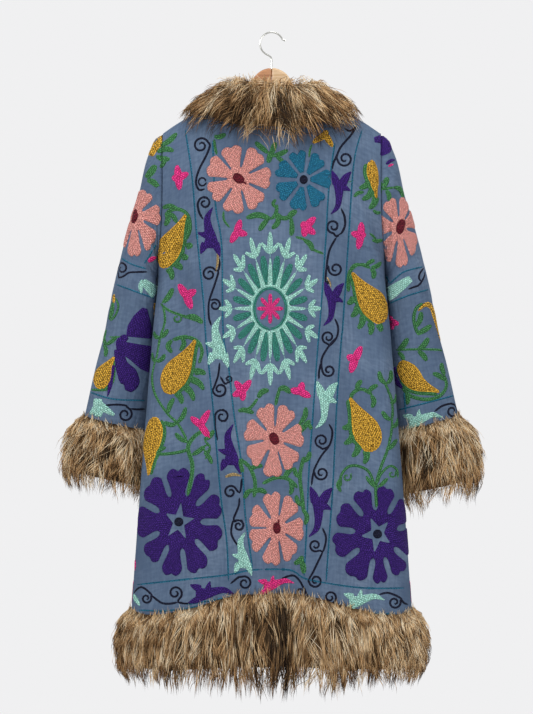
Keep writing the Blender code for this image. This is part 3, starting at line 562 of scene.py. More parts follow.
def sleeveGrid(back, front):
    last = form["roofRows"] + form["armholeRows"]
    loop = np.concatenate([back[: last + 1, -1], front[last - 1:0:-1, 0]])
    count, half = len(loop), last
    closed = np.concatenate([loop, loop[:1]])
    length = np.concatenate([[0], np.cumsum(np.linalg.norm(np.diff(closed, axis=0), axis=1))])
    backTurn = 0.5 * length[: half + 1] / length[half]
    frontTurn = 0.5 + 0.5 * (length[half:] - length[half]) / (length[-1] - length[half])
    loopTurns = 0.25 - np.concatenate([backTurn, frontTurn[1:-1]])
    middle, axis = (loop[0] + loop[half]) / 2, ((loop[0] - loop[half]) / 2)[[0, 2]]
    flat = (loop - middle)[:, [0, 2]]
    loopReach = flat @ axis / (axis @ axis)
    loopOffset = flat - loopReach[:, None] * axis
    places = np.linspace(0, 1, len(sleeveForm["outerX"]))
    even = 0.25 - np.arange(count) / count
    power = 2 / form["sleeveOval"]

    def ring(k):
        along = k / sleeveForm["steps"]
        outer = np.array([smooth(along, places, sleeveForm["outer" + axisName]) for axisName in "XZ"])
        inner = np.array([smooth(along, places, sleeveForm["inner" + axisName]) for axisName in "XZ"])
        turns = loopTurns * (1 - fade(along * 3)) + even * fade(along * 3)
        angle = 2 * math.pi * turns
        reach = np.sign(np.sin(angle)) * np.abs(np.sin(angle)) ** power
        girth = np.sign(np.cos(angle)) * np.abs(np.cos(angle)) ** power
        keep = 1 - fade((k + 1) / 4)
        reach = reach * (1 - keep) + loopReach * keep
        centre = smooth(along, places, sleeveForm["centre"])
        depth = smooth(along, places, sleeveForm["depth"])
        y = (centre - depth * girth) * (1 - keep) + loop[:, 1] * keep
        spot = (outer + inner) / 2 + (outer - inner) / 2 * reach[:, None] + loopOffset * keep
        return clearOfBody(np.stack([spot[:, 0], y, spot[:, 1]], axis=-1), sleeveForm["clear"])

    rings = []
    first = ring(0)
    for k in np.linspace(-1, sleeveForm["steps"], sleeveForm["rings"]):
        rings.append(ring(k) if k >= 0 else loop * -k + first * (1 + k))
    grid = np.array(rings)
    along = (np.arange(len(grid)) / (len(grid) - 1))[:, None]
    turn = ((0.25 - np.arange(count) / count) % 1)[None, :]
    out = np.zeros(grid.shape[:2])
    for foldTurn, place, reachRound, width, depth in sleeveFolds + sleeveCreases:
        roundWay = (turn - foldTurn + 0.5) % 1 - 0.5
        slanted = along - place - 0.25 * roundWay
        out += depth * np.exp(-((slanted / width) ** 2)) * np.exp(-((roundWay / reachRound) ** 2))
    out *= fade(along * 5) * fade((1 - along) * 6)
    dip, dipPlace, dipWidth = sleeveForm["headDip"]
    out -= dip * np.exp(-(((along - dipPlace) / dipWidth) ** 2))
    grid = clearOfBody(grid + tubeNormals(grid) * out[..., None], sleeveForm["clear"])
    # A small running gap at the armhole seam
    away = grid[1] - grid[0]
    grid[0] += unit(away) * form["seam"]
    # Unrolled from the underarm up the back of the arm, over the top and down the front
    order = list(range(half, -1, -1)) + list(range(count - 1, half - 1, -1))
    return grid[:, order]


print("working out the cloth's form")
backGrid, frontGrid = panelGrid("back"), panelGrid("front")
sleeveRight = sleeveGrid(backGrid, frontGrid)
backGrid[..., 1] -= form["seam"] / 2
frontGrid[..., 1] += form["seam"] / 2
mirror = np.array([-1, 1, 1])
frontLeftGrid = (frontGrid * mirror)[:, ::-1]
sleeveLeft = (sleeveRight * mirror)[:, ::-1]


def tubeGridNormals(grid):
    ring = grid[:, :-1]
    around = np.roll(ring, -1, axis=1) - np.roll(ring, 1, axis=1)
    found = unit(np.cross(np.gradient(ring, axis=0), around))
    return np.concatenate([found, found[:, :1]], axis=1)


def flatMap(grid, zeroColumn, zeroRow):
    # The panel laid flat, in metres: across from one column and up from one row
    steps = np.linalg.norm(np.diff(grid, axis=1), axis=-1)
    across = np.concatenate([np.zeros((len(grid), 1)), np.cumsum(steps, axis=1)], axis=1)
    across -= across[:, zeroColumn:zeroColumn + 1]
    drops = np.linalg.norm(np.diff(grid, axis=0), axis=-1)
    down = np.concatenate([np.zeros((1, grid.shape[1])), np.cumsum(drops, axis=0)])
    down -= down[zeroRow:zeroRow + 1]
    return np.stack([across, grid[zeroRow, zeroColumn, 2] - down], axis=-1)


# How far a panel has to be turned to the camera for its points to be found or its outline
# measured, and the rows of pixels where the outline is measured
outline = {
    "found": 0.12,
    "measured": 0.34,
    "rows": (100, 640, 4),
    "near": 3,
}


def clothPanel(grid, normals, zeroColumn, zeroRow):
    outer = grid + normals * clothFace
    panel = {"place": outer, "out": normals, "flat": flatMap(grid, zeroColumn, zeroRow)}
    depth = outer[..., 1] + photo["distance"]
    focal = photo["lens"] / photo["film"] * photo["height"] / depth
    panel["seen"] = np.stack([
        photo["width"] / 2 + focal * (outer[..., 0] - photo["aim"][0]),
        photo["height"] / 2 - focal * (outer[..., 2] - photo["aim"][1]),
    ], axis=-1)
    rows, columns = grid.shape[:2]
    toCamera = unit(np.array([photo["aim"][0], -photo["distance"], photo["aim"][1]]) - outer)
    turnedTo = np.sum(toCamera * normals, axis=-1)
    facing = (turnedTo > outline["found"]).ravel()
    shown = panel["seen"][turnedTo > outline["measured"]]
    limits = []
    for height in range(*outline["rows"]) if len(shown) else []:
        near = shown[np.abs(shown[:, 1] - height) < outline["near"], 0]
        if len(near):
            limits.append((height, near.min(), near.max()))
    if limits:
        panel["heights"], panel["low"], panel["high"] = np.array(limits, float).T
    for name, keys in (("flat", np.arange(rows * columns)), ("seen", np.flatnonzero(facing))):
        tree = kdtree.KDTree(len(keys))
        for number, key in enumerate(keys):
            x, y = panel[name][key // columns, key % columns]
            tree.insert((x, y, 0), number)
        tree.balance()
        panel[name + "Tree"], panel[name + "Keys"] = tree, keys
    return panel


def between(field, spot):
    low = np.floor(spot).astype(int)
    low = np.clip(low, 0, np.array(field.shape[:2]) - 2)
    part = spot - low
    down, across = part[:, :1], part[:, 1:]
    a, b = field[low[:, 0], low[:, 1]], field[low[:, 0], low[:, 1] + 1]
    c, d = field[low[:, 0] + 1, low[:, 1]], field[low[:, 0] + 1, low[:, 1] + 1]
    value = (a * (1 - across) + b * across) * (1 - down) + (c * (1 - across) + d * across) * down
    return value, (c - a) * (1 - across) + (d - b) * across, (b - a) * (1 - down) + (d - c) * down


def gridSpots(panel, name, targets):
    field = panel[name]
    rows, columns = field.shape[:2]
    keys = np.array([panel[name + "Keys"][panel[name + "Tree"].find((x, y, 0))[1]] for x, y in targets])
    spot = np.stack([keys // columns, keys % columns], axis=-1).astype(float)
    for _ in range(4):
        here, down, across = between(field, spot)
        gap = targets - here
        turn = down[:, 0] * across[:, 1] - down[:, 1] * across[:, 0]
        turn = np.where(np.abs(turn) < 1e-12, 1e-12, turn)
        step = np.stack([
            (gap[:, 0] * across[:, 1] - gap[:, 1] * across[:, 0]) / turn,
            (down[:, 0] * gap[:, 1] - down[:, 1] * gap[:, 0]) / turn,
        ], axis=-1)
        spot = np.clip(spot + np.clip(step, -2, 2), 0, [rows - 1.0, columns - 1.0])
    return spot


def flatSpots(panel, pixels):
    # Where the picture's points lie on the flat panel
    pixels = np.asarray(pixels, float).reshape(-1, 2)
    return between(panel["flat"], gridSpots(panel, "seen", pixels))[0]


def gridSize(grid):
    # Area, widest row and longest column, in metres
    across, downward = np.diff(grid, axis=1), np.diff(grid, axis=0)
    area = np.linalg.norm(np.cross(across[:-1], downward[:, :-1]), axis=-1).sum()
    widest = np.linalg.norm(across, axis=-1).sum(axis=1).max()
    longest = np.linalg.norm(downward, axis=-1).sum(axis=0).max()
    return [round(float(value), 4) for value in (area, widest, longest)]


underarmRow = form["roofRows"] + form["armholeRows"]
quarter = underarmRow // 2
panels = {
    "back": clothPanel(backGrid, gridNormals(backGrid), form["halfColumns"], underarmRow),
    "frontRight": clothPanel(frontGrid, gridNormals(frontGrid), form["halfColumns"], underarmRow),
    "frontLeft": clothPanel(frontLeftGrid, gridNormals(frontLeftGrid), 0, underarmRow),
    "sleeveRight": clothPanel(
        sleeveRight, tubeGridNormals(sleeveRight), quarter, sleeveForm["rings"] - 1),
    "sleeveLeft": clothPanel(
        sleeveLeft, tubeGridNormals(sleeveLeft), 2 * underarmRow - quarter, sleeveForm["rings"] - 1),
}
for name, panel in panels.items():
    inward = float(np.mean(np.sum(panel["out"] * np.array([0, -1, 0]), axis=-1)[5:-5]))
    print("panel", name, panel["place"].shape, "mean facing", round(inward, 3), gridSize(panel["place"]))


# Cloth pieces: a grid moved on to the panel's points, then given its thickness
clothPieces = {
    "back": {"node": "back", "cut": (0.62, 0.97), "area": 0.478},
    "frontRight": {"node": "front_right", "cut": (0.29, 0.98), "area": 0.227},
    "frontLeft": {"node": "front_left", "cut": (0.29, 0.98), "area": 0.227},
    "sleeveRight": {"node": "sleeve_right", "cut": (0.53, 0.56), "area": 0.152},
    "sleeveLeft": {"node": "sleeve_left", "cut": (0.53, 0.56), "area": 0.152},
}


def sheetMesh(name, grid, flat, material, thickness, offset, tube):
    rows, columns = grid.shape[:2]
    bpy.ops.object.select_all(action="DESELECT")
    bpy.ops.mesh.primitive_grid_add(x_subdivisions=columns - 1, y_subdivisions=rows - 1, size=1)
    piece = bpy.context.object
    piece.name = piece.data.name = name
    start = np.zeros(rows * columns * 3)
    piece.data.vertices.foreach_get("co", start)
    start = start.reshape(-1, 3)
    column = np.rint((start[:, 0] + 0.5) * (columns - 1)).astype(int)
    row = np.rint((0.5 - start[:, 1]) * (rows - 1)).astype(int)
    piece.data.vertices.foreach_set("co", grid[row, column].ravel())
    corner = np.zeros(len(piece.data.loops), int)
    piece.data.loops.foreach_get("vertex_index", corner)
    layer = piece.data.uv_layers[0]
    layer.name = "cloth"
    layer.data.foreach_set("uv", flat[row[corner], column[corner]].ravel())
    if tube:
        bpy.ops.object.mode_set(mode="EDIT")
        bpy.ops.mesh.select_all(action="SELECT")
        bpy.ops.mesh.remove_doubles(threshold=form["weld"])
        bpy.ops.object.mode_set(mode="OBJECT")
    thick = piece.modifiers.new("thickness", "SOLIDIFY")
    thick.thickness = thickness
    thick.offset = offset
    bpy.ops.object.modifier_apply(modifier="thickness")
    bpy.ops.object.shade_smooth_by_angle(angle=math.radians(60))
    piece.data.materials.clear()
    piece.data.materials.append(material)
    return piece


cotton = wovenCotton()
for name, panel in panels.items():
    plan = clothPieces[name]
    grid = panel["place"] - panel["out"] * clothFace
    tube = name.startswith("sleeve")
    piece = sheetMesh("cloth_" + plan["node"], grid, panel["flat"], cotton, form["sheet"], 0.0, tube)
    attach(piece, "root")
    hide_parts(plan["node"])
print("cloth panels made")


# Threads are pads on the cloth's own curve, which no primitive follows, so their grids
# are worked out here: a domed top, sides sunk into the cloth and a strip underneath.
embroidery = {
    "sunk": 0.0008,
    "edge": -0.0003,
    "petal": 0.0020,
    "disc": 0.0032,
    "leaf": 0.0011,
    "line": 0.0010,
    "belly": 0.0020,
    "rim": 0.0026,
    "edging": 0.0011,
    "ring": 0.0012,
    "ray": 0.0013,
    "largePetal": 0.0014,
    "scrollHalf": 1.15,  # half widths in the picture's pixels
    "curlHalf": 1.1,
    "rowHalf": 0.95,
    "frontRowHalf": 0.85,
    "wide": 6,
    "lobeStep": 1.7,  # steps along a line, in pixels too
    "rimStep": 2.0,
    "lineStep": 2.2,
    "rowStep": 4.0,
    "wrap": 1.8,
    "thinColumns": 6,
    "missed": 0.002,
    "mostlyOff": 0.72,
}
# Places across a strip, in half widths, and the share of its height there
profiles = {
    "line": ((-1.25, 0, 1.25), (0, 1, 0)),
    "lobe": ((-1.07, -0.8, -0.3, 0.3, 0.8, 1.07), (0, 0.85, 1, 1, 0.85, 0)),
    "wide": ((-1.04, -0.92, -0.72, -0.48, -0.24, 0, 0.24, 0.48, 0.72, 0.92, 1.04),
             (0, 0.7, 1, 1, 1, 1, 1, 1, 1, 0.7, 0)),
}
threads = {}
pixel = photo["metresPerPixel"]


def onPicture(name):
    # Drawing units are the picture's pixels, x to the right and y down. Past the panel's
    # outline the drawing goes on round it.
    panel = panels[name]

    def toFlat(points):
        points = np.asarray(points, float).reshape(-1, 2)
        held = points.copy()
        held[:, 0] = np.clip(points[:, 0], np.interp(points[:, 1], panel["heights"], panel["low"]),
                             np.interp(points[:, 1], panel["heights"], panel["high"]))
        past = points[:, 0] - held[:, 0]
        flat = flatSpots(panel, held)
        over = np.abs(past) > 0
        if over.any():
            inner = held[over] - np.sign(past[over])[:, None] * np.array([3.0, 0.0])
            outward = unit(flat[over] - flatSpots(panel, inner))
            flat[over] += outward * np.abs(past[over])[:, None] * pixel * embroidery["wrap"]
        return flat

    return {"panel": panel, "toFlat": toFlat}


def onCloth(name, across, height, hand):
    # The same units on the flat cloth itself, from a point in metres
    def toFlat(points):
        points = np.asarray(points, float).reshape(-1, 2)
        return np.array([across, height]) + points * np.array([hand, -1.0]) * pixel

    return {"panel": panels[name], "toFlat": toFlat}


def pad(cloth, points, rise, uv, thread):
    panel = cloth["panel"]
    flat = cloth["toFlat"](points).reshape(points.shape)
    rows, columns = rise.shape
    first = flat[rows // 2, -1] - flat[rows // 2, 0]
    second = flat[-1, columns // 2] - flat[0, columns // 2]
    if first[0] * second[1] - first[1] * second[0] < 0:
        flat, rise, uv = flat[:, ::-1], rise[:, ::-1], uv[:, ::-1]
    spot = gridSpots(panel, "flat", flat.reshape(-1, 2))
    place, out = between(panel["place"], spot)[0], unit(between(panel["out"], spot)[0])
    reached = between(panel["flat"], spot)[0]
    missed = np.linalg.norm(reached - flat.reshape(-1, 2), axis=-1) > embroidery["missed"]
    if missed.mean() > embroidery["mostlyOff"]:
        return
    top = place + out * rise.reshape(-1, 1)
    # The underside has a middle column too where the pad is wide, so that it follows the cloth
    middles = [columns // 2] if columns > embroidery["thinColumns"] else []
    picks = np.array([0] + middles + [columns - 1])
    ends = (np.arange(rows)[:, None] * columns + picks).ravel()
    low = place[ends] - out[ends] * embroidery["sunk"]
    store = threads.setdefault(thread, {"points": [], "uv": [], "corners": [], "sizes": [], "count": 0})
    at = store["count"] + np.arange(rows * columns).reshape(rows, columns)
    under = store["count"] + rows * columns + np.arange(rows * len(picks)).reshape(rows, -1)
    quads = np.concatenate([
        np.stack([at[:-1, :-1], at[:-1, 1:], at[1:, 1:], at[1:, :-1]], axis=-1).reshape(-1, 4),
        np.stack([at[:-1, 0], at[1:, 0], under[1:, 0], under[:-1, 0]], axis=-1),
        np.stack([at[1:, -1], at[:-1, -1], under[:-1, -1], under[1:, -1]], axis=-1),
        np.stack([under[:-1, :-1], under[1:, :-1], under[1:, 1:], under[:-1, 1:]], axis=-1).reshape(-1, 4),
    ])
    caps = np.concatenate([at[0, ::-1], under[0], at[-1], under[-1, ::-1]])
    store["points"] += [top, low]
    store["uv"] += [uv.reshape(-1, 2), uv.reshape(-1, 2)[ends]]
    store["corners"] += [quads.ravel(), caps]
    store["sizes"] += [np.full(len(quads), 4), np.full(2, columns + len(picks))]
    store["count"] += rows * (columns + len(picks))


def curveThrough(points, spacing, closed=False):
    # A smooth line through its points, with even steps
    points = np.asarray(points, float)
    if closed:
        ends = np.concatenate([points[-1:], points, points[:2]])
    else:
        ends = np.concatenate([2 * points[:1] - points[1:2], points, 2 * points[-1:] - points[-2:-1]])
    pieces = []
    for k in range(len(ends) - 3):
        p0, p1, p2, p3 = ends[k:k + 4]
        t = np.linspace(0, 1, 9)[:-1, None]
        pieces.append(0.5 * (2 * p1 + (p2 - p0) * t + (2 * p0 - 5 * p1 + 4 * p2 - p3) * t**2
                             + (3 * p1 - p0 - 3 * p2 + p3) * t**3))
    line = np.concatenate(pieces + [ends[-2:-1]])
    length = np.concatenate([[0], np.cumsum(np.linalg.norm(np.diff(line, axis=0), axis=1))])
    count = max(int(round(length[-1] / spacing)) + 1, 4)
    at = np.linspace(0, length[-1], count)
    return np.stack([np.interp(at, length, line[:, k]) for k in (0, 1)], axis=-1), at


def strip(cloth, line, at, half, height, thread, profile):
    # A raised strip along a line, half its width to each side
    way = unit(np.gradient(line, axis=0))
    side = np.stack([-way[:, 1], way[:, 0]], axis=-1)
    if profile == "lobe" and half.max() >= embroidery["wide"]:
        profile = "wide"
    turns, domed = [np.array(part) for part in profiles[profile]]
    points = line[:, None] + side[:, None] * turns[None, :, None] * half[:, None, None]
    rise = height * domed[None, :] * np.clip(half / 1.2, 0.4, 1)[:, None]
    rise[:, [0, -1]] = embroidery["edge"]
    rise[[0, -1]] = np.minimum(rise[[0, -1]], embroidery["edge"] * 0.5)
    uv = np.stack([np.repeat(at[:, None], len(turns), 1), turns[None, :] * half[:, None]], axis=-1)
    pad(cloth, points, rise, uv * pixel + line[0] * 0.01, thread)


def stroke(cloth, points, half, thread, height=embroidery["line"], closed=False,
           step=embroidery["lineStep"]):
    line, at = curveThrough(points, step, closed)
    ends = np.minimum(np.arange(len(line)), np.arange(len(line))[::-1])
    width = half * (np.ones(len(line)) if closed else np.clip(0.45 + ends * 0.4, 0, 1))
    strip(cloth, line, at, width, height, thread, "line")


def lobe(cloth, points, widths, thread, height=embroidery["leaf"]):
    # A leaf, petal or lobe: half widths along its spine
    line, at = curveThrough(points, embroidery["lobeStep"])
    share = at / at[-1]
    half = np.maximum(np.interp(share, np.linspace(0, 1, len(widths)), widths), 0.25)
    strip(cloth, line, at, half, height, thread, "lobe")


# Half widths along a leaf: the vines' leaves are blunt, and the others pointed
bluntLeaf = (0.40, 0.62, 0.74, 0.78, 0.76, 0.66, 0.30)
pointedLeaf = (0.45, 0.8, 0.9, 0.65, 0.14)


def leaf(cloth, points, half, thread="vine"):
    lobe(cloth, points, np.array(bluntLeaf if thread == "vine" else pointedLeaf) * half, thread)


def leavesOn(cloth, rows, thread="vine"):
    for points, half in rows:
        leaf(cloth, points, half, thread)


def strokesOn(cloth, lines, half, thread, step=embroidery["lineStep"]):
    for points in lines:
        stroke(cloth, points, half, thread, step=step)


def turned(points, degrees):
    # Clockwise as seen, because y runs downwards
    a = math.radians(degrees)
    points = np.asarray(points, float)
    x, y = points[..., 0], points[..., 1]
    return np.stack([x * math.cos(a) - y * math.sin(a), x * math.sin(a) + y * math.cos(a)], axis=-1)


def disc(cloth, centre, halfX, halfY, degrees, thread):
    # A square grid pressed into a round one, so that it closes without a pole
    v, u = np.linspace(-1, 1, 7)[:, None], np.linspace(-1, 1, 9)[None, :]
    x, y = u * np.sqrt(1 - v * v / 2), v * np.sqrt(1 - u * u / 2)
    reach = np.sqrt(x * x + y * y)
    domed = embroidery["disc"] * np.clip(1 - reach**2, 0, 1) ** 0.3
    rise = np.where(reach > 0.985, embroidery["edge"], domed)
    local = turned(np.stack([x * halfX, y * halfY], axis=-1), degrees)
    pad(cloth, local + np.asarray(centre, float), rise, local * pixel, thread)


# How petals vary, and their places across and outwards
petalLook = {
    "turn": 0.04,
    "lean": 0.03,
    "dip": 0.15,
    "reach": 1.03,
    "notch": (0.7, 1.25),
    "notchHalf": 0.36,
    "rounded": 0.10,
    "across": (-1, -0.93, -0.8, -0.6, -0.4, -0.2, 0, 0.2, 0.4, 0.6, 0.8, 0.93, 1),
    "outward": (0.05, 0.12, 0.22, 0.36, 0.52, 0.68, 0.82, 0.92, 0.97, 1.0),
    "starPoints": 5,
    "starTurn": 85.0,
}
# Flowers. A slot between two petals is given by half widths at shares of the radius.
flowerKinds = {
    "pink": {
        "petals": 7, "from": 0.31, "inner": 0.08, "notch": 0.09, "round": 0.10, "uneven": 0.04,
        "slots": ((0.0, -0.9), (0.31, -0.7), (0.37, 1.0), (0.62, 1.7), (0.86, 2.1), (1.0, 3.4)),
    },
    "teal": {
        "petals": 7, "from": 0.30, "inner": 0.24, "notch": 0.12, "round": 0.12, "uneven": 0.04,
        "slots": ((0.0, 1.0), (0.3, 1.4), (0.6, 1.9), (0.86, 2.2), (1.0, 3.0)),
    },
    "purple": {
        "petals": 9, "from": 0.47, "inner": 0.14, "notch": 0.06, "round": 0.13, "uneven": 0.06,
        "slots": ((0.0, -1.0), (0.47, -1.0), (0.51, 1.8), (0.58, 3.0), (0.72, 2.9), (0.86, 2.6), (1.0, 4.2)),
        "star": (6.0, 17.5),
    },
}


def flower(cloth, centre, kind, halfX, halfY, degrees, seed, starTurn=petalLook["starTurn"], slotsAt=None):
    # halfX is how far it reaches to the left and right, and halfY up and down. The first
    # petal points degrees anticlockwise from the right, or slotsAt gives the slots' turns.
    style, look = flowerKinds[kind], petalLook
    rng = np.random.default_rng(seed)
    size = (sum(halfX) + sum(halfY)) / 4
    across, outward = np.array(look["across"]), np.array(look["outward"])[:, None]
    edge = np.clip((1 - np.abs(across)) / look["rounded"], 0, 1) ** 0.5
    petals, points = style["petals"], look["starPoints"]
    for k in range(petals):
        step = 2 * math.pi / petals
        turn = rng.uniform(-look["turn"], look["turn"]) * ("star" not in style)
        middle = math.radians(degrees) + k * step + turn
        if slotsAt:
            step = math.radians((slotsAt[(k + 1) % petals] - slotsAt[k]) % 360)
            middle = math.radians(slotsAt[k]) + step / 2
        lean, dip = [rng.uniform(-look[part], look[part]) for part in ("lean", "dip")]
        reach = look["reach"] - rng.uniform(0, style["uneven"])
        notch = style["notch"] * rng.uniform(*look["notch"])
        tip = reach * (1 - notch * np.clip(1 - np.abs(across - dip) / look["notchHalf"], 0, 1) ** 1.2
                       - style["round"] * np.abs(across) ** 5 + lean * across)
        inner = np.full(len(across), style["inner"])
        if "star" in style:
            low, high = style["star"]
            for _ in range(3):
                angle = middle + across * (step / 2 + 1 / (np.maximum(inner, 0.08) * size))
                turns = (angle - math.radians(starTurn)) / (2 * math.pi) * points
                near = np.abs((turns + 0.5) % 1 - 0.5) * 2 * math.pi / points
                inner = low * high * math.sin(math.pi / points)
                inner = inner / (low * np.sin(math.pi / points - near) + high * np.sin(near)) / size
        start = np.maximum(style["from"], inner + 0.02)
        share = np.concatenate([inner[None], (0.5 * inner + 0.5 * start)[None], start[None],
                                start + (tip - start) * outward])
        slot = np.interp(share, [s[0] for s in style["slots"]], [s[1] for s in style["slots"]])
        angle = middle + across * (step / 2 - slot / (np.maximum(share, 0.06) * size))
        x, y = np.cos(angle) * share, -np.sin(angle) * share
        local = np.stack([x * np.where(x < 0, halfX[0], halfX[1]), y * np.where(y < 0, halfY[0], halfY[1])],
                         axis=-1)
        rise = embroidery["petal"] * np.repeat(edge[None], len(share), 0)
        rise[[0, -1]] = 0
        rise[-2] *= 0.8
        rise = np.where(rise <= 0, embroidery["edge"], rise)
        rows = np.stack([share * size, across * (step / 2) * np.maximum(share, 0.3) * size], axis=-1)
        pad(cloth, local + np.asarray(centre, float), rise, rows * pixel + 0.011 * (k + 1), kind)


# A crest with a curved tip, a crown and a barb
crest = [
    (((3.8, -24), (-1.6, -13), (-0.4, -2), (2.0, 8), (1.8, 17.5)), (0.4, 3.0, 4.2, 5.8, 8.6)),
    (((-3.2, 12), (-5.8, 17), (-8.4, 23)), (4.4, 3.4, 0.6)),
    (((6.2, 12), (8.6, 18.5), (11, 26)), (4.2, 3.2, 0.5)),
    (((0, 4), (-6, 3.4), (-11.5, 1.6)), (5.0, 2.8, 0.5)),
]

# The same hanging by its crown, with its tip below
crestHanging = [
    (((-10.2, 18.5), (-3.6, 11.5), (-1.8, 3), (-1.6, -6), (-1.6, -16)), (0.4, 2.5, 3.3, 4.6, 7.2)),
    (((-4, -12), (-6.5, -19.5), (-8.9, -25.6)), (4.4, 3.4, 0.6)),
    (((1.6, -12), (6, -19.5), (10.6, -24.4)), (4.6, 3.8, 0.6)),
    (((-1, -9), (4.5, -8), (9.9, -5.2)), (4.6, 3.0, 0.5)),
]


def crestOn(cloth, centre, degrees, size, thread, shape=crest):
    for spine, widths in shape:
        points = turned(np.array(spine) * size, degrees) + np.asarray(centre, float)
        lobe(cloth, points, np.array(widths) * size, thread)


curlLook = {
    "steps": 10,
    "shape": 0.85,
    "eye": 0.16,
    "lead": 0.25,
    "turns": 1.45,
}


def curl(eye, start, radius, turns, sense):
    # Winds inwards, clockwise as seen where sense is 1
    t = np.linspace(0, 1, int(curlLook["steps"] * turns) + 2)
    angle = start + sense * t * turns * 2 * math.pi
    reach = radius * ((1 - t) ** curlLook["shape"] * (1 - curlLook["eye"]) + curlLook["eye"])
    return np.stack([eye[0] + reach * np.cos(angle), eye[1] + reach * np.sin(angle)], axis=-1)


def scroll(cloth, line, eye, radius, sense, thread="navy", half=embroidery["scrollHalf"],
           turns=curlLook["turns"]):
    # A line that runs into a curl
    start = line[-1]
    angle = math.atan2(start[1] - eye[1], start[0] - eye[0]) + sense * curlLook["lead"]
    points = np.concatenate([np.asarray(line, float), curl(eye, angle, radius, turns, sense)])
    stroke(cloth, points, half, thread)


# Half widths of a paisley as shares and of the leaves beyond it in pixels, and its rim and edging
paisleyLook = {
    "widths": (0.30, 0.62, 0.82, 0.94, 1.0, 1.0, 0.96, 0.87, 0.74, 0.60, 0.46, 0.33, 0.22, 0.13, 0.06),
    "leaf": (3.4, 3.6, 3.1, 2.7, 1.2),
    "leafBend": 0.12,
    "rimPlace": 0.95,
    "rimHalf": 0.8,
    "edgingAway": 2.2,
    "edgingHalf": 2.3,
    "edgingFrom": 0.05,
}


def paisley(cloth, spine, half, fringe, side):
    # From its belly to its tip. A bright rim runs round a flecked filling, with a green
    # edging on one side and leaves beyond it.
    look = paisleyLook
    widths = np.array(look["widths"]) * half
    lobe(cloth, spine, widths, "mustard", embroidery["belly"])
    line, at = curveThrough(spine, embroidery["rimStep"])
    width = np.interp(at / at[-1], np.linspace(0, 1, len(widths)), widths) * look["rimPlace"]
    way = unit(np.gradient(line, axis=0))
    right = np.stack([-way[:, 1], way[:, 0]], axis=-1)
    rim = np.concatenate([line + right * width[:, None], (line - right * width[:, None])[::-1]])
    stroke(cloth, rim, look["rimHalf"], "gold", embroidery["rim"], closed=True)
    outer = line + right * (width[:, None] + look["edgingAway"]) * side
    edging = outer[int(len(line) * look["edgingFrom"]):]
    stroke(cloth, edging, look["edgingHalf"], "vine", embroidery["edging"])
    for foot, tip in fringe:
        middle = (np.add(foot, tip) / 2 + look["leafBend"] * np.array([tip[1] - foot[1], foot[0] - tip[0]]))
        lobe(cloth, [foot, middle, tip], look["leaf"], "vine")


def threeLobes(cloth, centre, tips, half, thread="hotPink"):
    for tip in tips:
        middle = ((centre[0] + tip[0]) / 2, (centre[1] + tip[1]) / 2)
        lobe(cloth, [centre, middle, tip], np.array([1.1, 1.2, 1.15, 0.9, 0.35]) * half, thread)


print("embroidering the back")
back = onPicture("back")
for kind, at, halfX, halfY, degrees, seed, starTurn, slotsAt in [
    ("pink", (238.6, 178.6), (33, 33), (34, 34.5), 1, 1, 0, None),
    ("pink", (274.2, 438.7), (30, 29), (35.5, 38), 8, 2, 0, None),
    ("pink", (276.8, 528.0), (28.5, 27), (36.5, 37), 0, 3, 0, None),
    ("teal", (303.7, 179.6), (29, 27), (30, 31), 0, 4, 0, None),
    ("purple", (178.8, 521.9), (42.5, 44), (56, 55), 0, 5, 82, (0, 37, 69, 114, 158, 203, 240, 279, 319)),
    ("purple", (377.5, 534.0), (45.5, 40), (49, 51), 0, 6, 115, (12, 57, 95, 131, 174, 216, 259, 291, 326)),
]:
    flower(back, at, kind, halfX, halfY, degrees, seed, starTurn, slotsAt)
for at, halfX, halfY, degrees, thread in [
    ((238.6, 178.4), 7.6, 5.2, 34, "wine"), ((244.6, 183.0), 2.6, 1.3, 30, "wine"),
    ((274.2, 438.5), 8.0, 5.4, 60, "wine"), ((276.8, 528.0), 6.6, 4.4, 86, "wine"),
    ((278.6, 521.0), 2.4, 1.2, 100, "wine"),
    ((303.7, 179.6), 4.2, 4.7, 0, "navy"), ((178.8, 521.9), 4.7, 4.7, 0, "navy"),
    ((377.5, 534.0), 4.7, 4.7, 0, "navy"),
]:
    disc(back, at, halfX, halfY, degrees, thread)

rosette = {
    "at": (270.2, 308.6),
    "half": (51.0, 76.0),
    "ring": (16.0, 20.4),
    "spokes": 16,
    "rays": 8,
}


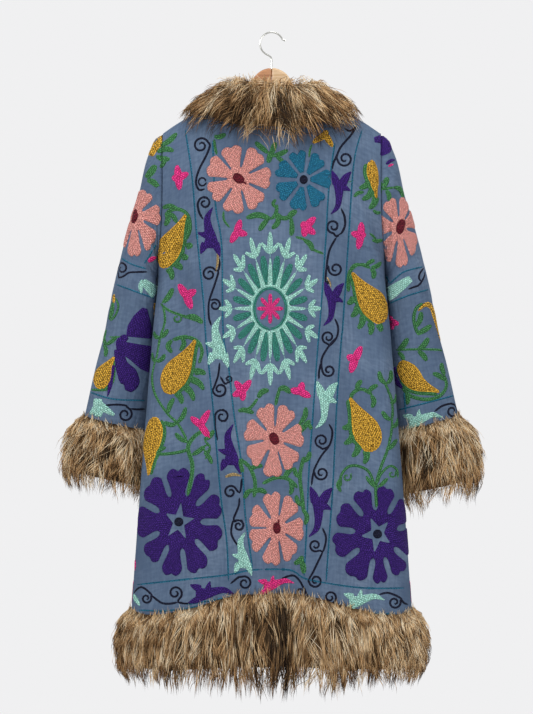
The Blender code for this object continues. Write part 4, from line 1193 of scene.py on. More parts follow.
def rosetteMotif():
    centre, (halfX, halfY) = np.array(rosette["at"]), rosette["half"]

    def polar(share, angle, sideways=0.0):
        # The middle is nearly round, and the rest is longer than it is wide
        stretch = np.interp(share, [0.30, 0.45, 1.0], [halfX * 1.24, halfX * 1.34, halfY])
        out = np.array([share * halfX * math.sin(angle), -share * stretch * math.cos(angle)])
        along = np.array([math.cos(angle) * halfX, math.sin(angle) * halfY])
        return centre + out + sideways * along / np.linalg.norm(along)

    turns = np.linspace(0, 2 * math.pi, 29)[:-1]
    ringX, ringY = rosette["ring"]
    for wider, half, thread in ((0.0, 1.5, "rosetteGreen"), (2.9, 1.7, "mint")):
        ring = [centre + ((ringX + wider) * math.sin(a), (ringY + wider) * math.cos(a)) for a in turns]
        stroke(back, ring, half, thread, embroidery["ring"], closed=True)
    step = 2 * math.pi / rosette["spokes"]
    for k in range(rosette["spokes"]):
        a = k * step
        lobe(back, [polar(0.34, a), polar(0.50, a), polar(0.70, a)], (3.2, 2.4, 1.9, 1.6, 0.8), "mint")
        stroke(back, [polar(0.69, a), polar(0.76, a)], 0.5, "mint")
        lobe(back, [polar(0.745, a), polar(0.87, a), polar(1.015, a)], (0.5, 2.2, 2.8, 2.6, 2.1, 0.7), "mint")
        for hand in (-1, 1):
            arm = [polar(0.755, a), polar(0.82, a, 4.4 * hand), polar(0.885, a, 9.0 * hand)]
            lobe(back, arm, (0.6, 2.2, 2.4, 2.1, 1.8, 1.1), "mint")
        b = a + step / 2
        lobe(back, [polar(0.35, b), polar(0.47, b), polar(0.62, b), polar(0.745, b)],
             (1.2, 2.1, 2.9, 3.4, 3.5, 3.2, 1.6), "rosetteGreen")
    for k in range(rosette["rays"]):
        a = k * 2 * math.pi / rosette["rays"]
        ends = [(x * math.sin(a), -y * math.cos(a)) for x, y in ((0, 0), (7.5, 8.2), (13, 15))]
        lobe(back, centre + ends, (1.2, 1.6, 2.1, 2.1, 1.1), "hotPink", embroidery["ray"])


rosetteMotif()

# Paisleys: belly to tip, half width, leaves beyond the edging and the edging's side
for spine, half, fringe, side in [
    ([(162, 267), (166.6, 253), (175.4, 236), (185.5, 215)], 12.1,
     [((186, 247), (193, 246)), ((182, 257), (188, 259)), ((175, 264), (182, 270)),
      ((168, 268), (172, 280))], 1),
    ([(381.5, 322), (376, 308), (364, 291), (352.5, 273)], 13.5,
     [((354, 297), (347, 304)), ((358, 306), (351, 317)), ((363, 316), (358, 329)), ((370, 322), (370, 335)),
      ((378, 324), (381, 332))], -1),
    ([(371.5, 161), (372, 170), (374, 182), (376.5, 198)], 5.2,
     [((370.5, 180), (359, 188.5)), ((373, 189), (362, 200)), ((376, 197), (369, 209))], 1),
    ([(168.5, 393), (173, 379), (184, 361), (195.5, 340)], 13.0,
     [((194, 372), (206, 374)), ((191, 379), (204, 390)), ((184, 386), (194, 401)),
      ((176, 392), (182, 404))], 1),
    ([(154.5, 418), (154, 430), (150.5, 448), (148.5, 475)], 9.2, [], -1),
    ([(369.5, 451), (369, 438), (361, 420), (350, 398)], 13.8,
     [((352, 424), (342, 428)), ((354, 434), (344, 444)), ((359, 444), (352, 457)),
      ((366, 450), (364, 464))], -1),
]:
    paisley(back, spine, half, fringe, side)

for at, degrees, size, thread in [
    ((209, 231), 0, 1.0, "purple"), ((217, 341), 0, 1.05, "mint"), ((229.5, 448), 0, 1.0, "purple"),
    ((242, 553), 0, 0.88, "mint"), ((212, 592), 88, 0.95, "purple"),
    ((276, 583.6), 80, 0.76, "hotPink"), ((364, 599), 84, 0.86, "mint"),
]:
    crestOn(back, at, degrees, size, thread)
for at, size, thread in [((340.7, 196), 1.0, "purple"), ((333.5, 307.4), 1.0, "purple"),
                         ((326.4, 408.6), 1.08, "mint"), ((320.4, 515.8), 1.15, "purple")]:
    crestOn(back, at, 0, size, thread, crestHanging)

# Scrolls of the bands: the line's points, the curl's eye, its radius and its turn
for line, eye, radius, sense in [
    ([(205.4, 188.5), (199.4, 190), (196, 183), (198.5, 171), (207, 154), (210, 145)], (201, 145.4), 8.0, -1),
    ([(203.7, 220), (199.4, 213), (197.6, 205)], (204.6, 203), 6.6, 1),
    ([(211.5, 326), (208.9, 317), (209, 302), (214, 286.6), (218.4, 272)], (209.4, 274), 7.4, -1),
    ([(209.4, 300)], (215, 305), 6.0, 1),
    ([(219.8, 362), (218.2, 375), (213.8, 388)], (220, 389.5), 7.6, -1),
    ([(219.8, 376), (225, 384)], (228.5, 379), 3.6, -1),
    ([(217.5, 441), (215.2, 428), (215, 418)], (222.2, 416.5), 7.4, 1),
    ([(242, 477.6), (240, 492)], (230.4, 492), 6.8, -1),
    ([(237.7, 546), (231.4, 534), (232.8, 522)], (238.7, 525.7), 5.8, 1),
    ([(239.4, 497), (238.8, 506), (233.5, 519)], (238.7, 525.7), 5.8, 1),
    ([(357, 124), (351.8, 134), (340.8, 147), (336.6, 157)], (345, 158.8), 7.8, -1),
    ([(340.6, 207.4), (344.9, 218), (344, 229), (336.6, 236.4)], (333.4, 226.4), 7.0, 1),
    ([(336.6, 236.8), (329.6, 250), (327, 264)], (335.6, 268.8), 7.4, -1),
    ([(327.2, 262), (325.4, 280)], (327.5, 283), 1.6, 1),
    ([(334.6, 318), (338, 327), (336.8, 337), (330, 345.5)], (328.2, 337.2), 6.6, 1),
    ([(336.8, 337), (329, 346), (322, 358), (321.6, 368)], (328.8, 370.4), 6.6, -1),
    ([(328.8, 423.5), (332.4, 432), (329.6, 445), (322.6, 449)], (321.6, 440.6), 7.0, 1),
    ([(329.6, 446), (321.2, 456), (314, 470)], (321.6, 473.2), 7.2, -1),
    ([(322.2, 527.4), (326, 538), (323.2, 551)], (315.4, 545.4), 6.4, 1),
    ([(323.2, 551), (313.6, 571), (308.6, 580)], (315.6, 580.8), 6.8, -1),
    ([(132.5, 593.6), (141.2, 587), (151, 594)], (146.4, 598.4), 5.2, 1),
    ([(193, 602), (186, 603.6), (178, 602)], (175.2, 593.0), 7.2, -1),
    ([(230, 584), (238.8, 577)], (244.6, 583.0), 7.0, 1),
    ([(282, 578.4), (293, 575.4), (299.5, 580.6), (303.6, 588)], (300.6, 591.6), 4.8, 1),
    ([(340.7, 606.6), (332, 604.6)], (330.2, 597.2), 6.4, -1),
    ([(378.6, 594.7), (388.4, 592.8), (400.6, 598)], (394.6, 602.3), 6.4, 1),
]:
    scroll(back, line, eye, radius, sense)
strokesOn(back, [
    [(218.4, 272), (219.6, 264), (219, 258)],
    [(344, 128), (350, 131), (357, 126)],
    [(338.6, 151), (336.2, 157), (333, 164), (332, 170.6)],
    [(151, 595), (158, 600.6), (163, 603.4), (171, 603.6), (178, 602)],
    [(304, 588), (310, 599), (323, 604.4), (332, 604.8)],
    [(400.6, 598), (404, 603), (409, 604.5)],
    [(311.6, 486), (312.4, 478), (314, 470)],
    [(319, 380), (319, 372), (321, 362)],
], embroidery["scrollHalf"], "navy")
ring = [(202.3 + 3.8 * math.cos(a), 181.8 + 4.0 * math.sin(a)) for a in np.linspace(0, 5.5, 8)]
stroke(back, ring, 1.0, "navy", closed=True)

# Teal rows that border the bands
strokesOn(back, [
    [(185, 128), (192, 176), (196.5, 232), (203.5, 302), (206, 340), (211, 386), (216, 442), (221, 498),
     (226.6, 540), (228.6, 582)],
    [(212.6, 139), (215.4, 204), (221.7, 246), (223, 330), (228.4, 365), (234, 414), (242.4, 470), (245, 512),
     (252.7, 570)],
    [(335, 141), (329, 187), (325.4, 246), (320.5, 316), (318, 344), (314, 400), (309, 470), (307, 519),
     (304, 578)],
    [(362.6, 128), (354, 162), (349, 232), (343, 323), (341.6, 337), (337, 400), (333, 484), (329, 540),
     (326, 583)],
    [(134, 585), (180, 580), (226.6, 575), (252.7, 570), (289.5, 570), (303.6, 578), (326, 583), (364, 588),
     (407, 588)],
    [(136, 610), (170, 610.6), (217, 603), (251, 596.5), (277.5, 594.5), (300, 603), (317, 608.6), (357, 613),
     (397, 614)],
    [(184, 605), (217, 599.5), (240, 595)],
], embroidery["rowHalf"], "tealLine", embroidery["rowStep"])

for centre, tips, half in [
    ((178.5, 178), [(177, 165), (188.5, 173), (179.5, 190), (171.5, 178)], 3.1),
    ((237, 232), [(240.5, 219.5), (247.5, 234.5), (230.5, 243)], 3.1),
    ((186.5, 296), [(178.5, 284), (196, 290), (191.5, 309)], 3.4),
    ((305.5, 227), [(315.5, 217), (315.5, 234), (304, 237), (301.5, 222)], 3.3),
    ((361, 235.5), [(361.5, 222), (351, 233), (358, 249.5), (366, 233)], 3.2),
    ((200.5, 425), [(209.5, 410), (190.5, 417), (210.5, 439)], 3.0),
    ((242.3, 391), [(235, 381), (251, 380), (232.5, 396), (243, 401)], 3.1),
    ((355, 359.5), [(361.5, 346), (346.5, 356), (350.5, 373)], 3.4),
    ((300, 391.5), [(303, 382), (290, 390), (311, 397), (301, 393)], 3.2),
]:
    threeLobes(back, centre, tips, half)
threeLobes(back, (325, 134.5), [(312.5, 143), (333, 147), (327, 130)], 2.8, "mustard")
leavesOn(back, [
    ([(217.6, 251), (217.8, 262), (215.4, 273)], 1.5), ([(225, 477), (233, 474.5), (242, 476)], 2.0),
    ([(327, 277), (330, 283), (331, 288)], 1.2),
], "beige")

# Vines: stems as points and half width, leaves from foot to tip and half width
stems = [
    ([(214, 138.5), (215, 147), (217, 155)], 1.5), ([(223.5, 210.5), (224, 220), (230, 228)], 1.2),
    ([(277, 204), (276, 213), (271, 220)], 2.0), ([(276, 213), (282, 218), (289, 217), (297, 210)], 2.4),
    ([(291, 217), (292, 228), (293, 235)], 2.2), ([(295, 236.7), (305, 240), (312, 248.7), (324, 254)], 1.4),
    ([(369, 233), (374, 237), (378, 244)], 1.3),
    ([(186, 240), (190, 227), (187, 214), (177, 209), (166, 212)], 2.0),
    ([(349, 292), (347.5, 278), (352, 268), (361, 264.5), (371, 268)], 2.0),
    ([(173, 289), (164, 300), (162, 304)], 1.4), ([(160, 303), (168, 310), (183, 316), (201, 322)], 1.4),
    ([(163, 305), (165, 321), (160, 338), (157, 355), (152, 374), (155, 394), (167, 413), (178, 424),
      (187, 440)], 1.4),
    ([(199, 364), (202, 351), (197, 341), (185, 337), (172, 340)], 2.0),
    ([(188, 496), (192.5, 467), (188, 448), (194, 437), (204, 430)], 2.2),
    ([(154, 453.7), (166, 454), (180, 452), (190, 449)], 1.7),
    ([(350, 401), (353, 393), (362, 389), (373, 395)], 1.9),
    ([(376.5, 508), (376, 486), (381, 467), (388, 448), (392, 425), (391, 400), (384, 380)], 1.7),
    ([(375, 487), (369, 472), (358, 466), (348, 467), (341, 476), (341, 487)], 1.5),
    ([(377, 484), (381, 474), (390, 466), (397, 470), (398, 478)], 1.4),
    ([(280, 388), (277, 398), (275.6, 406)], 1.8),
    ([(242, 460), (250, 468), (255, 482), (254, 498)], 2.1), ([(302, 420), (298, 428), (294, 436)], 1.8),
    ([(304, 456), (300, 475), (302, 496), (304, 514)], 2.0),
    ([(262, 484), (275, 478), (288, 479), (298, 488)], 2.0),
    ([(240, 411), (250, 408), (258, 398)], 1.7), ([(312, 144), (310, 150), (309, 158)], 1.1),
    ([(205, 460), (210, 448), (204, 440)], 1.2),
]
leaves = [
    ([(214, 136), (219, 137), (226, 134)], 3.4), ([(268, 153), (262, 148), (255, 142)], 3.6),
    ([(271, 155), (273, 149), (276, 142)], 3.8), ([(272, 156), (280, 154), (288, 150)], 3.4),
    ([(270, 151), (270, 156), (268, 163)], 3.8), ([(264, 160), (259, 161), (254, 158)], 2.8),
    ([(276, 156), (281, 160), (284, 163)], 2.8), ([(271, 219), (258, 215), (246, 218)], 4.0),
    ([(268, 219), (263, 225), (259, 231)], 3.6), ([(277, 214), (278, 222), (272, 229)], 3.6),
    ([(277, 208), (273, 204), (276, 199)], 2.4), ([(297, 211), (292, 213), (288, 218)], 3.4),
    ([(292, 222), (292, 229), (291, 236)], 3.4), ([(304, 240), (310, 244), (313, 251)], 3.6),
    ([(166, 212), (168, 219), (165, 226)], 3.6), ([(167, 213), (173, 216), (177, 223)], 3.2),
    ([(178, 209), (170, 206), (162, 208)], 3.2), ([(371, 268), (374, 273), (373, 279)], 3.4),
    ([(371, 268), (377, 266), (382, 262)], 3.2), ([(366, 265), (370, 262), (375, 260)], 2.8),
    ([(163, 303), (169, 296), (173, 288)], 3.8), ([(186, 317), (194, 317), (203, 323)], 4.0),
    ([(160, 338), (154, 336), (150, 331)], 3.2), ([(160, 338), (165, 334), (168, 329)], 3.0),
    ([(156, 362), (151, 358), (149, 352)], 3.0), ([(156, 362), (162, 359), (165, 354)], 3.0),
    ([(172, 340), (168, 346), (172, 353)], 3.4), ([(182, 337), (184, 344), (180, 351)], 3.2),
    ([(168, 413), (170, 405), (174, 398)], 3.4), ([(177, 423), (183, 416), (186, 407)], 3.2),
    ([(177, 423), (171, 425), (164, 422)], 3.2), ([(188, 442), (181, 439), (175, 433)], 3.2),
    ([(204, 440), (210, 436), (214, 430)], 3.2), ([(154, 454), (160, 450), (166, 447)], 2.8),
    ([(192, 455), (199, 451), (204, 446)], 3.2), ([(204, 452), (209, 457), (212, 464)], 3.0),
    ([(357, 391), (358, 385), (362, 380)], 3.4), ([(368, 393), (372, 388), (378, 385)], 3.2),
    ([(371, 395), (374, 401), (372, 408)], 3.4), ([(391, 420), (386, 417), (382, 411)], 3.2),
    ([(391, 428), (397, 424), (400, 417)], 3.0), ([(390, 404), (396, 400), (399, 393)], 3.0),
    ([(386, 384), (381, 379), (379, 371)], 3.4), ([(387, 384), (391, 378), (391, 370)], 3.2),
    ([(386, 450), (392, 446), (397, 439)], 3.0), ([(238, 411), (245, 410), (254, 413)], 3.4),
    ([(258, 398), (262, 392), (269, 390)], 3.8), ([(278, 390), (284, 388), (291, 393)], 3.8),
    ([(296, 434), (303, 428), (310, 420)], 3.8), ([(300, 424), (305, 416), (306, 407)], 3.6),
    ([(304, 424), (309, 425), (312, 430)], 2.8), ([(242, 458), (240, 464), (243, 473)], 3.6),
    ([(250, 470), (256, 466), (263, 466)], 3.4), ([(254, 490), (248, 492), (244, 499)], 3.4),
    ([(254, 492), (260, 490), (267, 493)], 3.4), ([(284, 479), (288, 472), (293, 468)], 3.6),
    ([(290, 480), (292, 488), (290, 495)], 3.2), ([(302, 462), (308, 458), (310, 451)], 3.4),
    ([(301, 478), (296, 474), (294, 467)], 3.0), ([(303, 506), (298, 502), (296, 495)], 3.2),
    ([(304, 510), (307, 517), (305, 525)], 3.2), ([(303, 556), (299, 561), (294, 564)], 3.6),
    ([(301, 558), (303, 566), (304, 574)], 3.8), ([(341, 478), (338, 485), (341, 492)], 2.6),
    ([(376, 488), (370, 482), (366, 476)], 2.6), ([(378, 488), (384, 482), (388, 478)], 2.6),
    ([(372, 240), (377, 241), (383, 240)], 2.6), ([(344, 180), (349, 182), (354, 180)], 0.5),
    ([(354, 197), (358, 193), (364, 192)], 2.6), ([(373, 210), (377, 213), (381, 212)], 2.4),
]
for points, half in stems:
    stroke(back, points, half, "vine")
leavesOn(back, leaves)
for x, y, radius, sense in [
    (177, 318.5, 4.6, 1), (207, 449, 4.2, -1), (347, 477, 4.4, 1), (392, 474, 4.0, 1),
]:
    scroll(back, [(x + radius, y - radius)], (x, y), radius, sense, "vine", embroidery["curlHalf"], 1.1)


print("embroidering the sleeves")
left, right = onPicture("sleeveLeft"), onPicture("sleeveRight")
flower(left, (135.2, 216.5), "pink", (20, 25), (29, 41), 8, 11)
disc(left, (135.0, 216.3), 9.0, 3.0, -77, "wine")
flower(right, (399.5, 227.4), "pink", (23, 19), (31, 40), 20, 12)
disc(right, (400.6, 226.6), 9.2, 4.8, -76, "wine")
# The large purple flower of the left sleeve, seen in part beside the body
for spine, widths in [
    ([(139, 338), (140, 328), (142, 318), (145, 308)], (13, 12.5, 8.5, 2.5)),
    ([(117, 347), (124, 348), (136, 353), (148, 358.5), (155, 361)], (5, 7, 9.5, 12.5, 13)),
    ([(119, 349), (120, 358), (122, 366), (128, 376), (130.5, 384), (128, 391.5)], (5, 5.5, 7, 10, 9.5, 3)),
    ([(113, 364), (111.5, 376), (110, 386), (107.4, 397)], (2.6, 2.6, 2.2, 0.4)),
    ([(122, 351), (121, 342), (127, 336)], (5, 5, 3)),
]:
    lobe(left, spine, widths, "purple", embroidery["largePetal"])
paisley(left, [(99.5, 388), (102.5, 377), (107.5, 367), (114.5, 357)], 8.6, [], 1)
stroke(left, [(90, 389.6), (99, 390), (108, 389.6)], 1.6, "vine")
leaf(left, [(113.6, 294), (113.4, 299), (113.6, 304)], 2.2, "mustard")
leaf(left, [(112.6, 301), (111.6, 311), (109, 320)], 3.2)
stroke(left, [(115.4, 298), (118.4, 306), (115.6, 315), (110, 321.5)], 1.3, "vine")
leaf(left, [(155, 303), (156, 312), (154.6, 321)], 2.6, "mustard")
paisley(right, [(400.5, 362.6), (407.5, 372), (418, 383.4), (438.8, 391.8)], 10.0, [], 1)
stroke(right, [(401, 384.6), (409, 395), (425, 399.4), (439, 396.4), (446.6, 386), (443.4, 374)], 2.0, "vine")
leaf(right, [(393.4, 367), (396, 379), (403, 389)], 4.6, "purple")
leavesOn(right, [
    ([(445, 380), (438.6, 375.4), (432.5, 373.4)], 3.4), ([(444.6, 375), (442, 368.6), (441.6, 362.6)], 3.2),
    ([(406, 391), (408, 398), (407, 405)], 3.2),
])
lobe(right, [(418, 311), (425, 304.8), (432, 307), (437, 320), (443, 341)], (0.6, 2.8, 3.4, 2.4, 0.8),
     "mustard")
stroke(right, [(424, 303), (416.4, 308), (413.8, 318), (415.6, 328), (419, 335.5)], 1.9, "vine")
leavesOn(right, [
    ([(416, 327), (420, 319.6), (421.4, 311.6)], 3.6), ([(417, 334), (424.6, 330), (431.6, 325)], 3.6),
    ([(398, 351), (403.6, 345), (408, 338)], 3.8), ([(398, 352), (402, 356), (404, 361)], 3.0),
    ([(418, 350), (424, 345), (428.6, 337.6)], 3.8), ([(418, 351), (423, 355), (427, 361)], 3.6),
    ([(379, 190), (384, 185), (388, 177)], 4.2), ([(386, 190), (389, 195), (389, 201)], 3.2),
    ([(395, 187), (401, 190), (404, 198)], 3.6),
])
stroke(right, [(395, 350), (416, 349.4), (436, 349.6), (444, 351)], 1.2, "vine")
stroke(right, [(379, 190), (390, 188), (403, 187)], 1.5, "vine")
for cloth in (right, back):
    lobe(cloth, [(374, 140), (382, 139.5), (387, 146), (381, 155.5)], (2.6, 4.2, 6.2, 5.4, 1.2), "purple")
leaf(right, [(386, 164.5), (391, 160.5), (396, 160)], 2.0, "purple")
leaf(right, [(388, 166.5), (391, 165), (394, 164)], 1.3, "hotPink")
threeLobes(right, (391, 322), [(388, 315), (399, 324), (392, 330)], 2.8)
strokesOn(right, [
    [(389, 284.6), (396, 278), (405, 271.4), (424, 266.4)], [(381, 270), (386, 277), (390, 283.4)],
    [(387, 304.4), (407, 296), (430, 289)], [(398, 410), (426, 403), (456, 395)],
    [(403.8, 391.4), (405.8, 414)],
], embroidery["rowHalf"], "tealLine")
lobe(right, [(385, 296), (394, 290.5), (403, 284), (411, 278.4)], (6.4, 6.4, 5.6, 4.6, 3.2), "mint")
strokesOn(right, [
    [(407.6, 289.4), (414, 287), (419, 285), (423.6, 278), (426.8, 271)],
    [(425.6, 267), (420.6, 272), (418.8, 278), (421.8, 282)],
], embroidery["scrollHalf"], "navy")
crestOn(right, (422.6, 418.4), 78, 0.84, "mint")
scroll(right, [(434, 412), (442, 406), (450.6, 403.6)], (452.4, 411), 7.0, 1)

for spine, widths in [
    ([(98.4, 409), (97.8, 403), (98, 398.4)], (5.0, 4.8, 4.2)),
    ([(99, 406), (94, 411), (89.6, 414.6)], (4.6, 3.8, 0.8)),
    ([(98.6, 405), (98.6, 411), (97.8, 417)], (4.4, 4.6, 3.4)),
    ([(98, 405.6), (105.6, 409.4), (114.6, 415.4)], (5.6, 3.4, 1.4)),
]:
    lobe(left, spine, widths, "mint")
scroll(left, [(104, 405.6), (116, 404.6), (126, 405.6)], (125, 414.4), 7.4, 1)
stroke(left, [(130, 408.6), (137, 409.4), (146, 409)], embroidery["scrollHalf"], "navy")
strokesOn(left, [
    [(88, 391.6), (113, 399), (146, 400.6)], [(84, 419), (100, 424), (115, 427.4), (134, 429.8)],
    [(119, 257), (132, 264.4), (147, 269)], [(115, 284), (134, 291), (156, 299)],
    [(157, 243), (151, 253), (144, 264)],
], embroidery["rowHalf"], "tealLine")
scroll(left, [(148, 271.8), (138, 272), (129, 272.6), (124, 276), (118.6, 277.6)], (121.6, 268.4), 7.0, 1)
lobe(left, [(142.6, 281.6), (148, 285.6), (157, 294)], (3.4, 5.2, 7.0), "mint")
leaf(left, [(142.4, 279.6), (140.8, 286), (141.4, 294)], 2.8, "mint")
leaf(left, [(148, 262), (152, 259), (157, 257)], 2.6, "hotPink")
for cloth in (left, back):
    lobe(cloth, [(150, 156), (153, 148), (159, 141), (166, 134)], (3.2, 5.2, 5.6, 3.8, 1.4), "mustard")
    leavesOn(cloth, [
        ([(157, 152), (166, 149), (174, 151)], 3.6), ([(160, 146), (169, 141), (177, 133)], 3.6),
        ([(156, 156), (163, 159), (170, 159)], 3.6), ([(166, 156), (163.6, 163), (160, 168)], 3.0),
    ])
leavesOn(left, [
    ([(146, 178), (151, 172), (156, 165)], 4.8), ([(147, 180), (153, 182), (158, 187)], 4.0),
    ([(106, 345), (103, 338), (105, 329)], 3.2), ([(106, 345), (112, 341), (117, 336)], 2.8),
    ([(104, 344), (106, 350), (105.4, 357)], 2.8),
])
stroke(left, [(108, 337), (116, 337), (125, 336.8)], 0.9, "vine")
leaf(back, [(132.6, 594), (136, 599.6), (140, 606)], 2.6, "mint")
leaf(back, [(133, 559), (134.4, 565), (133.6, 571)], 1.8, "hotPink")


# The fronts and the fronts of the sleeves don't show in the picture. They carry the same
# motifs in a quieter arrangement, placed by metres across and height.
print("embroidering the fronts")
frontPlan = {
    "flowers": [(-0.120, -0.300, "pink", 32, 34), (-0.135, -0.560, "teal", 30, 32),
                (-0.145, -0.930, "purple", 42, 50), (-0.115, -0.745, "pink", 30, 34)],
    "rows": (-0.022, -0.068),
    "crests": [(-0.35, "purple"), (-0.49, "mint"), (-0.63, "purple"), (-0.77, "mint"), (-0.91, "hotPink")],
    "paisleys": [(-0.190, -0.440), (-0.205, -0.690)],
    "lobed": [(-0.185, -0.250), (-0.085, -0.420), (-0.215, -0.820), (-0.088, -0.655)],
    "vines": [[(-0.150, -0.355), (-0.165, -0.400), (-0.150, -0.470)],
              [(-0.120, -0.625), (-0.150, -0.650), (-0.160, -0.690)],
              [(-0.120, -0.810), (-0.140, -0.830), (-0.135, -0.850)],
              [(-0.090, -0.245), (-0.080, -0.210), (-0.095, -0.180)],
              [(-0.225, -0.560), (-0.232, -0.620), (-0.222, -0.660)]],
    "hemCurls": (-0.055, -0.150, -0.245),
}


def frontMotifs(name, hand):
    # hand is 1 on the right front, whose opening edge is on the right seen from outside
    rowHalf, curlHalf = embroidery["frontRowHalf"], embroidery["curlHalf"]

    def spot(x, z):
        return onCloth(name, x * hand, z, hand)

    def line(points, half, thread):
        local = [((x + 0.1) / pixel, -(z + 0.6) / pixel) for x, z in points]
        stroke(spot(-0.1, -0.6), local, half, thread, step=embroidery["rowStep"])

    for k, (x, z, kind, halfX, halfY) in enumerate(frontPlan["flowers"]):
        here = spot(x, z)
        flower(here, (0, 0), kind, (halfX, halfX), (halfY, halfY), 6, 21 + k)
        disc(here, (0, 0), 6.8, 5.2, 40, "wine" if kind == "pink" else "navy")
    for x in frontPlan["rows"]:
        line([(x - 0.004, -0.290), (x, -0.50), (x - 0.001, -0.75), (x - 0.003, -1.000)], rowHalf, "tealLine")
    for k, (z, thread) in enumerate(frontPlan["crests"]):
        crestOn(spot(-0.045, z), (0, 0), 180 if k % 2 else 0, 0.9, thread)
        stroke(spot(-0.045, z - 0.070), curl((0, 0), 0.6, 7.5, 1.4, 1), curlHalf, "navy")
    for z in (-1.000, -1.046):
        line([(-0.02, z), (-0.10, z - 0.003), (-0.20, z - 0.006), (-0.27, z - 0.004)], rowHalf, "tealLine")
    for k, x in enumerate(frontPlan["hemCurls"]):
        stroke(spot(x, -1.025), curl((0, 0), 2.6, 7.0, 1.4, -1), curlHalf, "navy")
        crestOn(spot(x - 0.045, -1.024), (0, 0), 86, 0.7, ("mint", "purple", "hotPink")[k])
    for x, z in frontPlan["paisleys"]:
        fringe = [((8, 8), (15, 12)), ((4, 18), (10, 26)), ((-2, 24), (0, 34))]
        paisley(spot(x, z), [(-7, 24), (-3, 10), (6, -6), (15, -26)], 12.0, fringe, 1)
    for x, z in frontPlan["lobed"]:
        threeLobes(spot(x, z), (0, 0), [(3, -13), (-12, -4), (6, 13)], 3.0)
    for points in frontPlan["vines"]:
        line(points, 1.8, "vine")
        for k, (x, z) in enumerate(points):
            side = 1 if k % 2 else -1
            leavesOn(spot(x, z), [([(0, 0), (6 * side, -3), (12 * side, -10)], 3.4),
                                  ([(0, 0), (-6 * side, 2), (-12 * side, -3)], 3.2)])


frontMotifs("frontRight", 1)
frontMotifs("frontLeft", -1)


def sleeveFrontMotifs(name, hand):
    # Down the front of the arm, from the top of the sleeve to the cuff
    flatGrid = panels[name]["flat"]
    columns = flatGrid.shape[1]
    middle = flatGrid[:, columns * 3 // 4 if hand > 0 else columns // 4]
    rowHalf, curlHalf = embroidery["frontRowHalf"], embroidery["curlHalf"]

    def spot(share):
        across, height = middle[int((len(middle) - 1) * share)]
        return onCloth(name, across, height, hand)

    flower(spot(0.30), (0, 0), "pink", (28, 28), (32, 32), 0, 31)
    disc(spot(0.30), (0, 0), 7.0, 5.0, 70, "wine")
    flower(spot(0.68), (0, 0), "purple", (34, 34), (38, 38), 10, 32)
    disc(spot(0.68), (0, 0), 4.4, 4.4, 0, "navy")
    for share in (0.46, 0.54, 0.86, 0.96):
        row = [(-32, 0), (-10, 0), (12, 0), (32, 0)]
        stroke(spot(share), row, rowHalf, "tealLine", step=embroidery["rowStep"])
    crestOn(spot(0.91), (0, 0), 84, 0.72, "mint")
    for x in (-26, 26):
        stroke(spot(0.91), curl((x, 0), 1.6, 5.5, 1.3, 1), curlHalf, "navy")
        stroke(spot(0.50), curl((x, 0), 0.6, 5.0, 1.3, -1), curlHalf, "navy")


sleeveFrontMotifs("sleeveRight", 1)
sleeveFrontMotifs("sleeveLeft", -1)

# Yarns whose pieces aren't named after them
yarnNames = {
    "rosetteGreen": "rosette_green",
    "hotPink": "hot_pink",
    "vine": "vine_green",
    "tealLine": "teal_rows",
}


def meshPiece(name, points, corners, sizes, uv, material, uvName, slot):
    mesh = bpy.data.meshes.new(name)
    mesh.vertices.add(len(points))
    mesh.vertices.foreach_set("co", np.ascontiguousarray(points, dtype=np.float32).ravel())
    mesh.loops.add(len(corners))
    mesh.loops.foreach_set("vertex_index", corners.astype(np.int32))
    mesh.polygons.add(len(sizes))
    starts = np.concatenate([[0], np.cumsum(sizes)[:-1]]).astype(np.int32)
    mesh.polygons.foreach_set("loop_start", starts)
    layer = mesh.uv_layers.new(name=uvName)
    layer.data.foreach_set("uv", np.ascontiguousarray(uv[corners], dtype=np.float32).ravel())
    mesh.update(calc_edges=True)
    mesh.validate()
    mesh.shade_smooth()
    mesh.materials.append(material)
    piece = bpy.data.objects.new(name, mesh)
    bpy.context.scene.collection.objects.link(piece)
    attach(piece, "root")
    return piece


for thread, store in threads.items():
    joined = [np.concatenate(store[part]) for part in ("points", "corners", "sizes", "uv")]
    piece = meshPiece("yarn_" + yarnNames.get(thread, thread), *joined,
                      embroideryYarn(thread, thread == "mustard"), "threads", "cloth")
    print("yarn", thread, len(piece.data.polygons), "faces")


# Fur bands. Each is a lattice on its cloth edge: base points, and the pile's full reach.
furPlan = {
    "hemFoot": -1.192,
    "cuffLength": {"cuff_fur_right": 0.152, "cuff_fur_left": 0.132},
    "hemPile": ((0.0, 0.06, 0.22, 0.45, 0.68, 0.88, 1.0),
                (0.004, 0.018, 0.028, 0.034, 0.032, 0.024, 0.014)),
    "cuffPile": ((0.0, 0.08, 0.25, 0.48, 0.70, 0.89, 1.0),
                 (0.004, 0.020, 0.032, 0.038, 0.037, 0.029, 0.018)),
    "collarHalf": 0.157,
    "collarDrop": {"back": 0.111, "front": 0.176},
    "collarReach": (0.0, 0.06, 0.24, 0.46, 0.70, 0.92, 1.04),
    "collarRise": (0.018, 0.029, 0.027, 0.018, 0.010, 0.002, -0.004),
    "collarLift": (0.001, 0.005, 0.012, 0.019, 0.023, 0.022, 0.014),
    "collarCrowd": 1.3,
    "collarTop": (1.42, 0.26),  # the rise at the back of the neck and over the shoulders
    "collarTopShape": 1.25,
    "collarFall": (2, 0.8),  # how the neckline's curve squares off as it goes out
    "collarRidge": 0.004,
    "collarTurn": 1.93,
    "collarColumns": 121,
    "collarBase": 0.0028,
    "pressed": 0.75,
    "hemInset": 0.0012,
    "cuffLean": 0.7,
    "cuffClear": 0.010,
    "past": 1.15,  # bands go on past their own length, for the longest locks
    "rows": 16,
    "backing": 0.003,
    "backingLift": 0.40,
    "backingEnd": 0.80,
    "collarBackingEnd": 0.74,
}


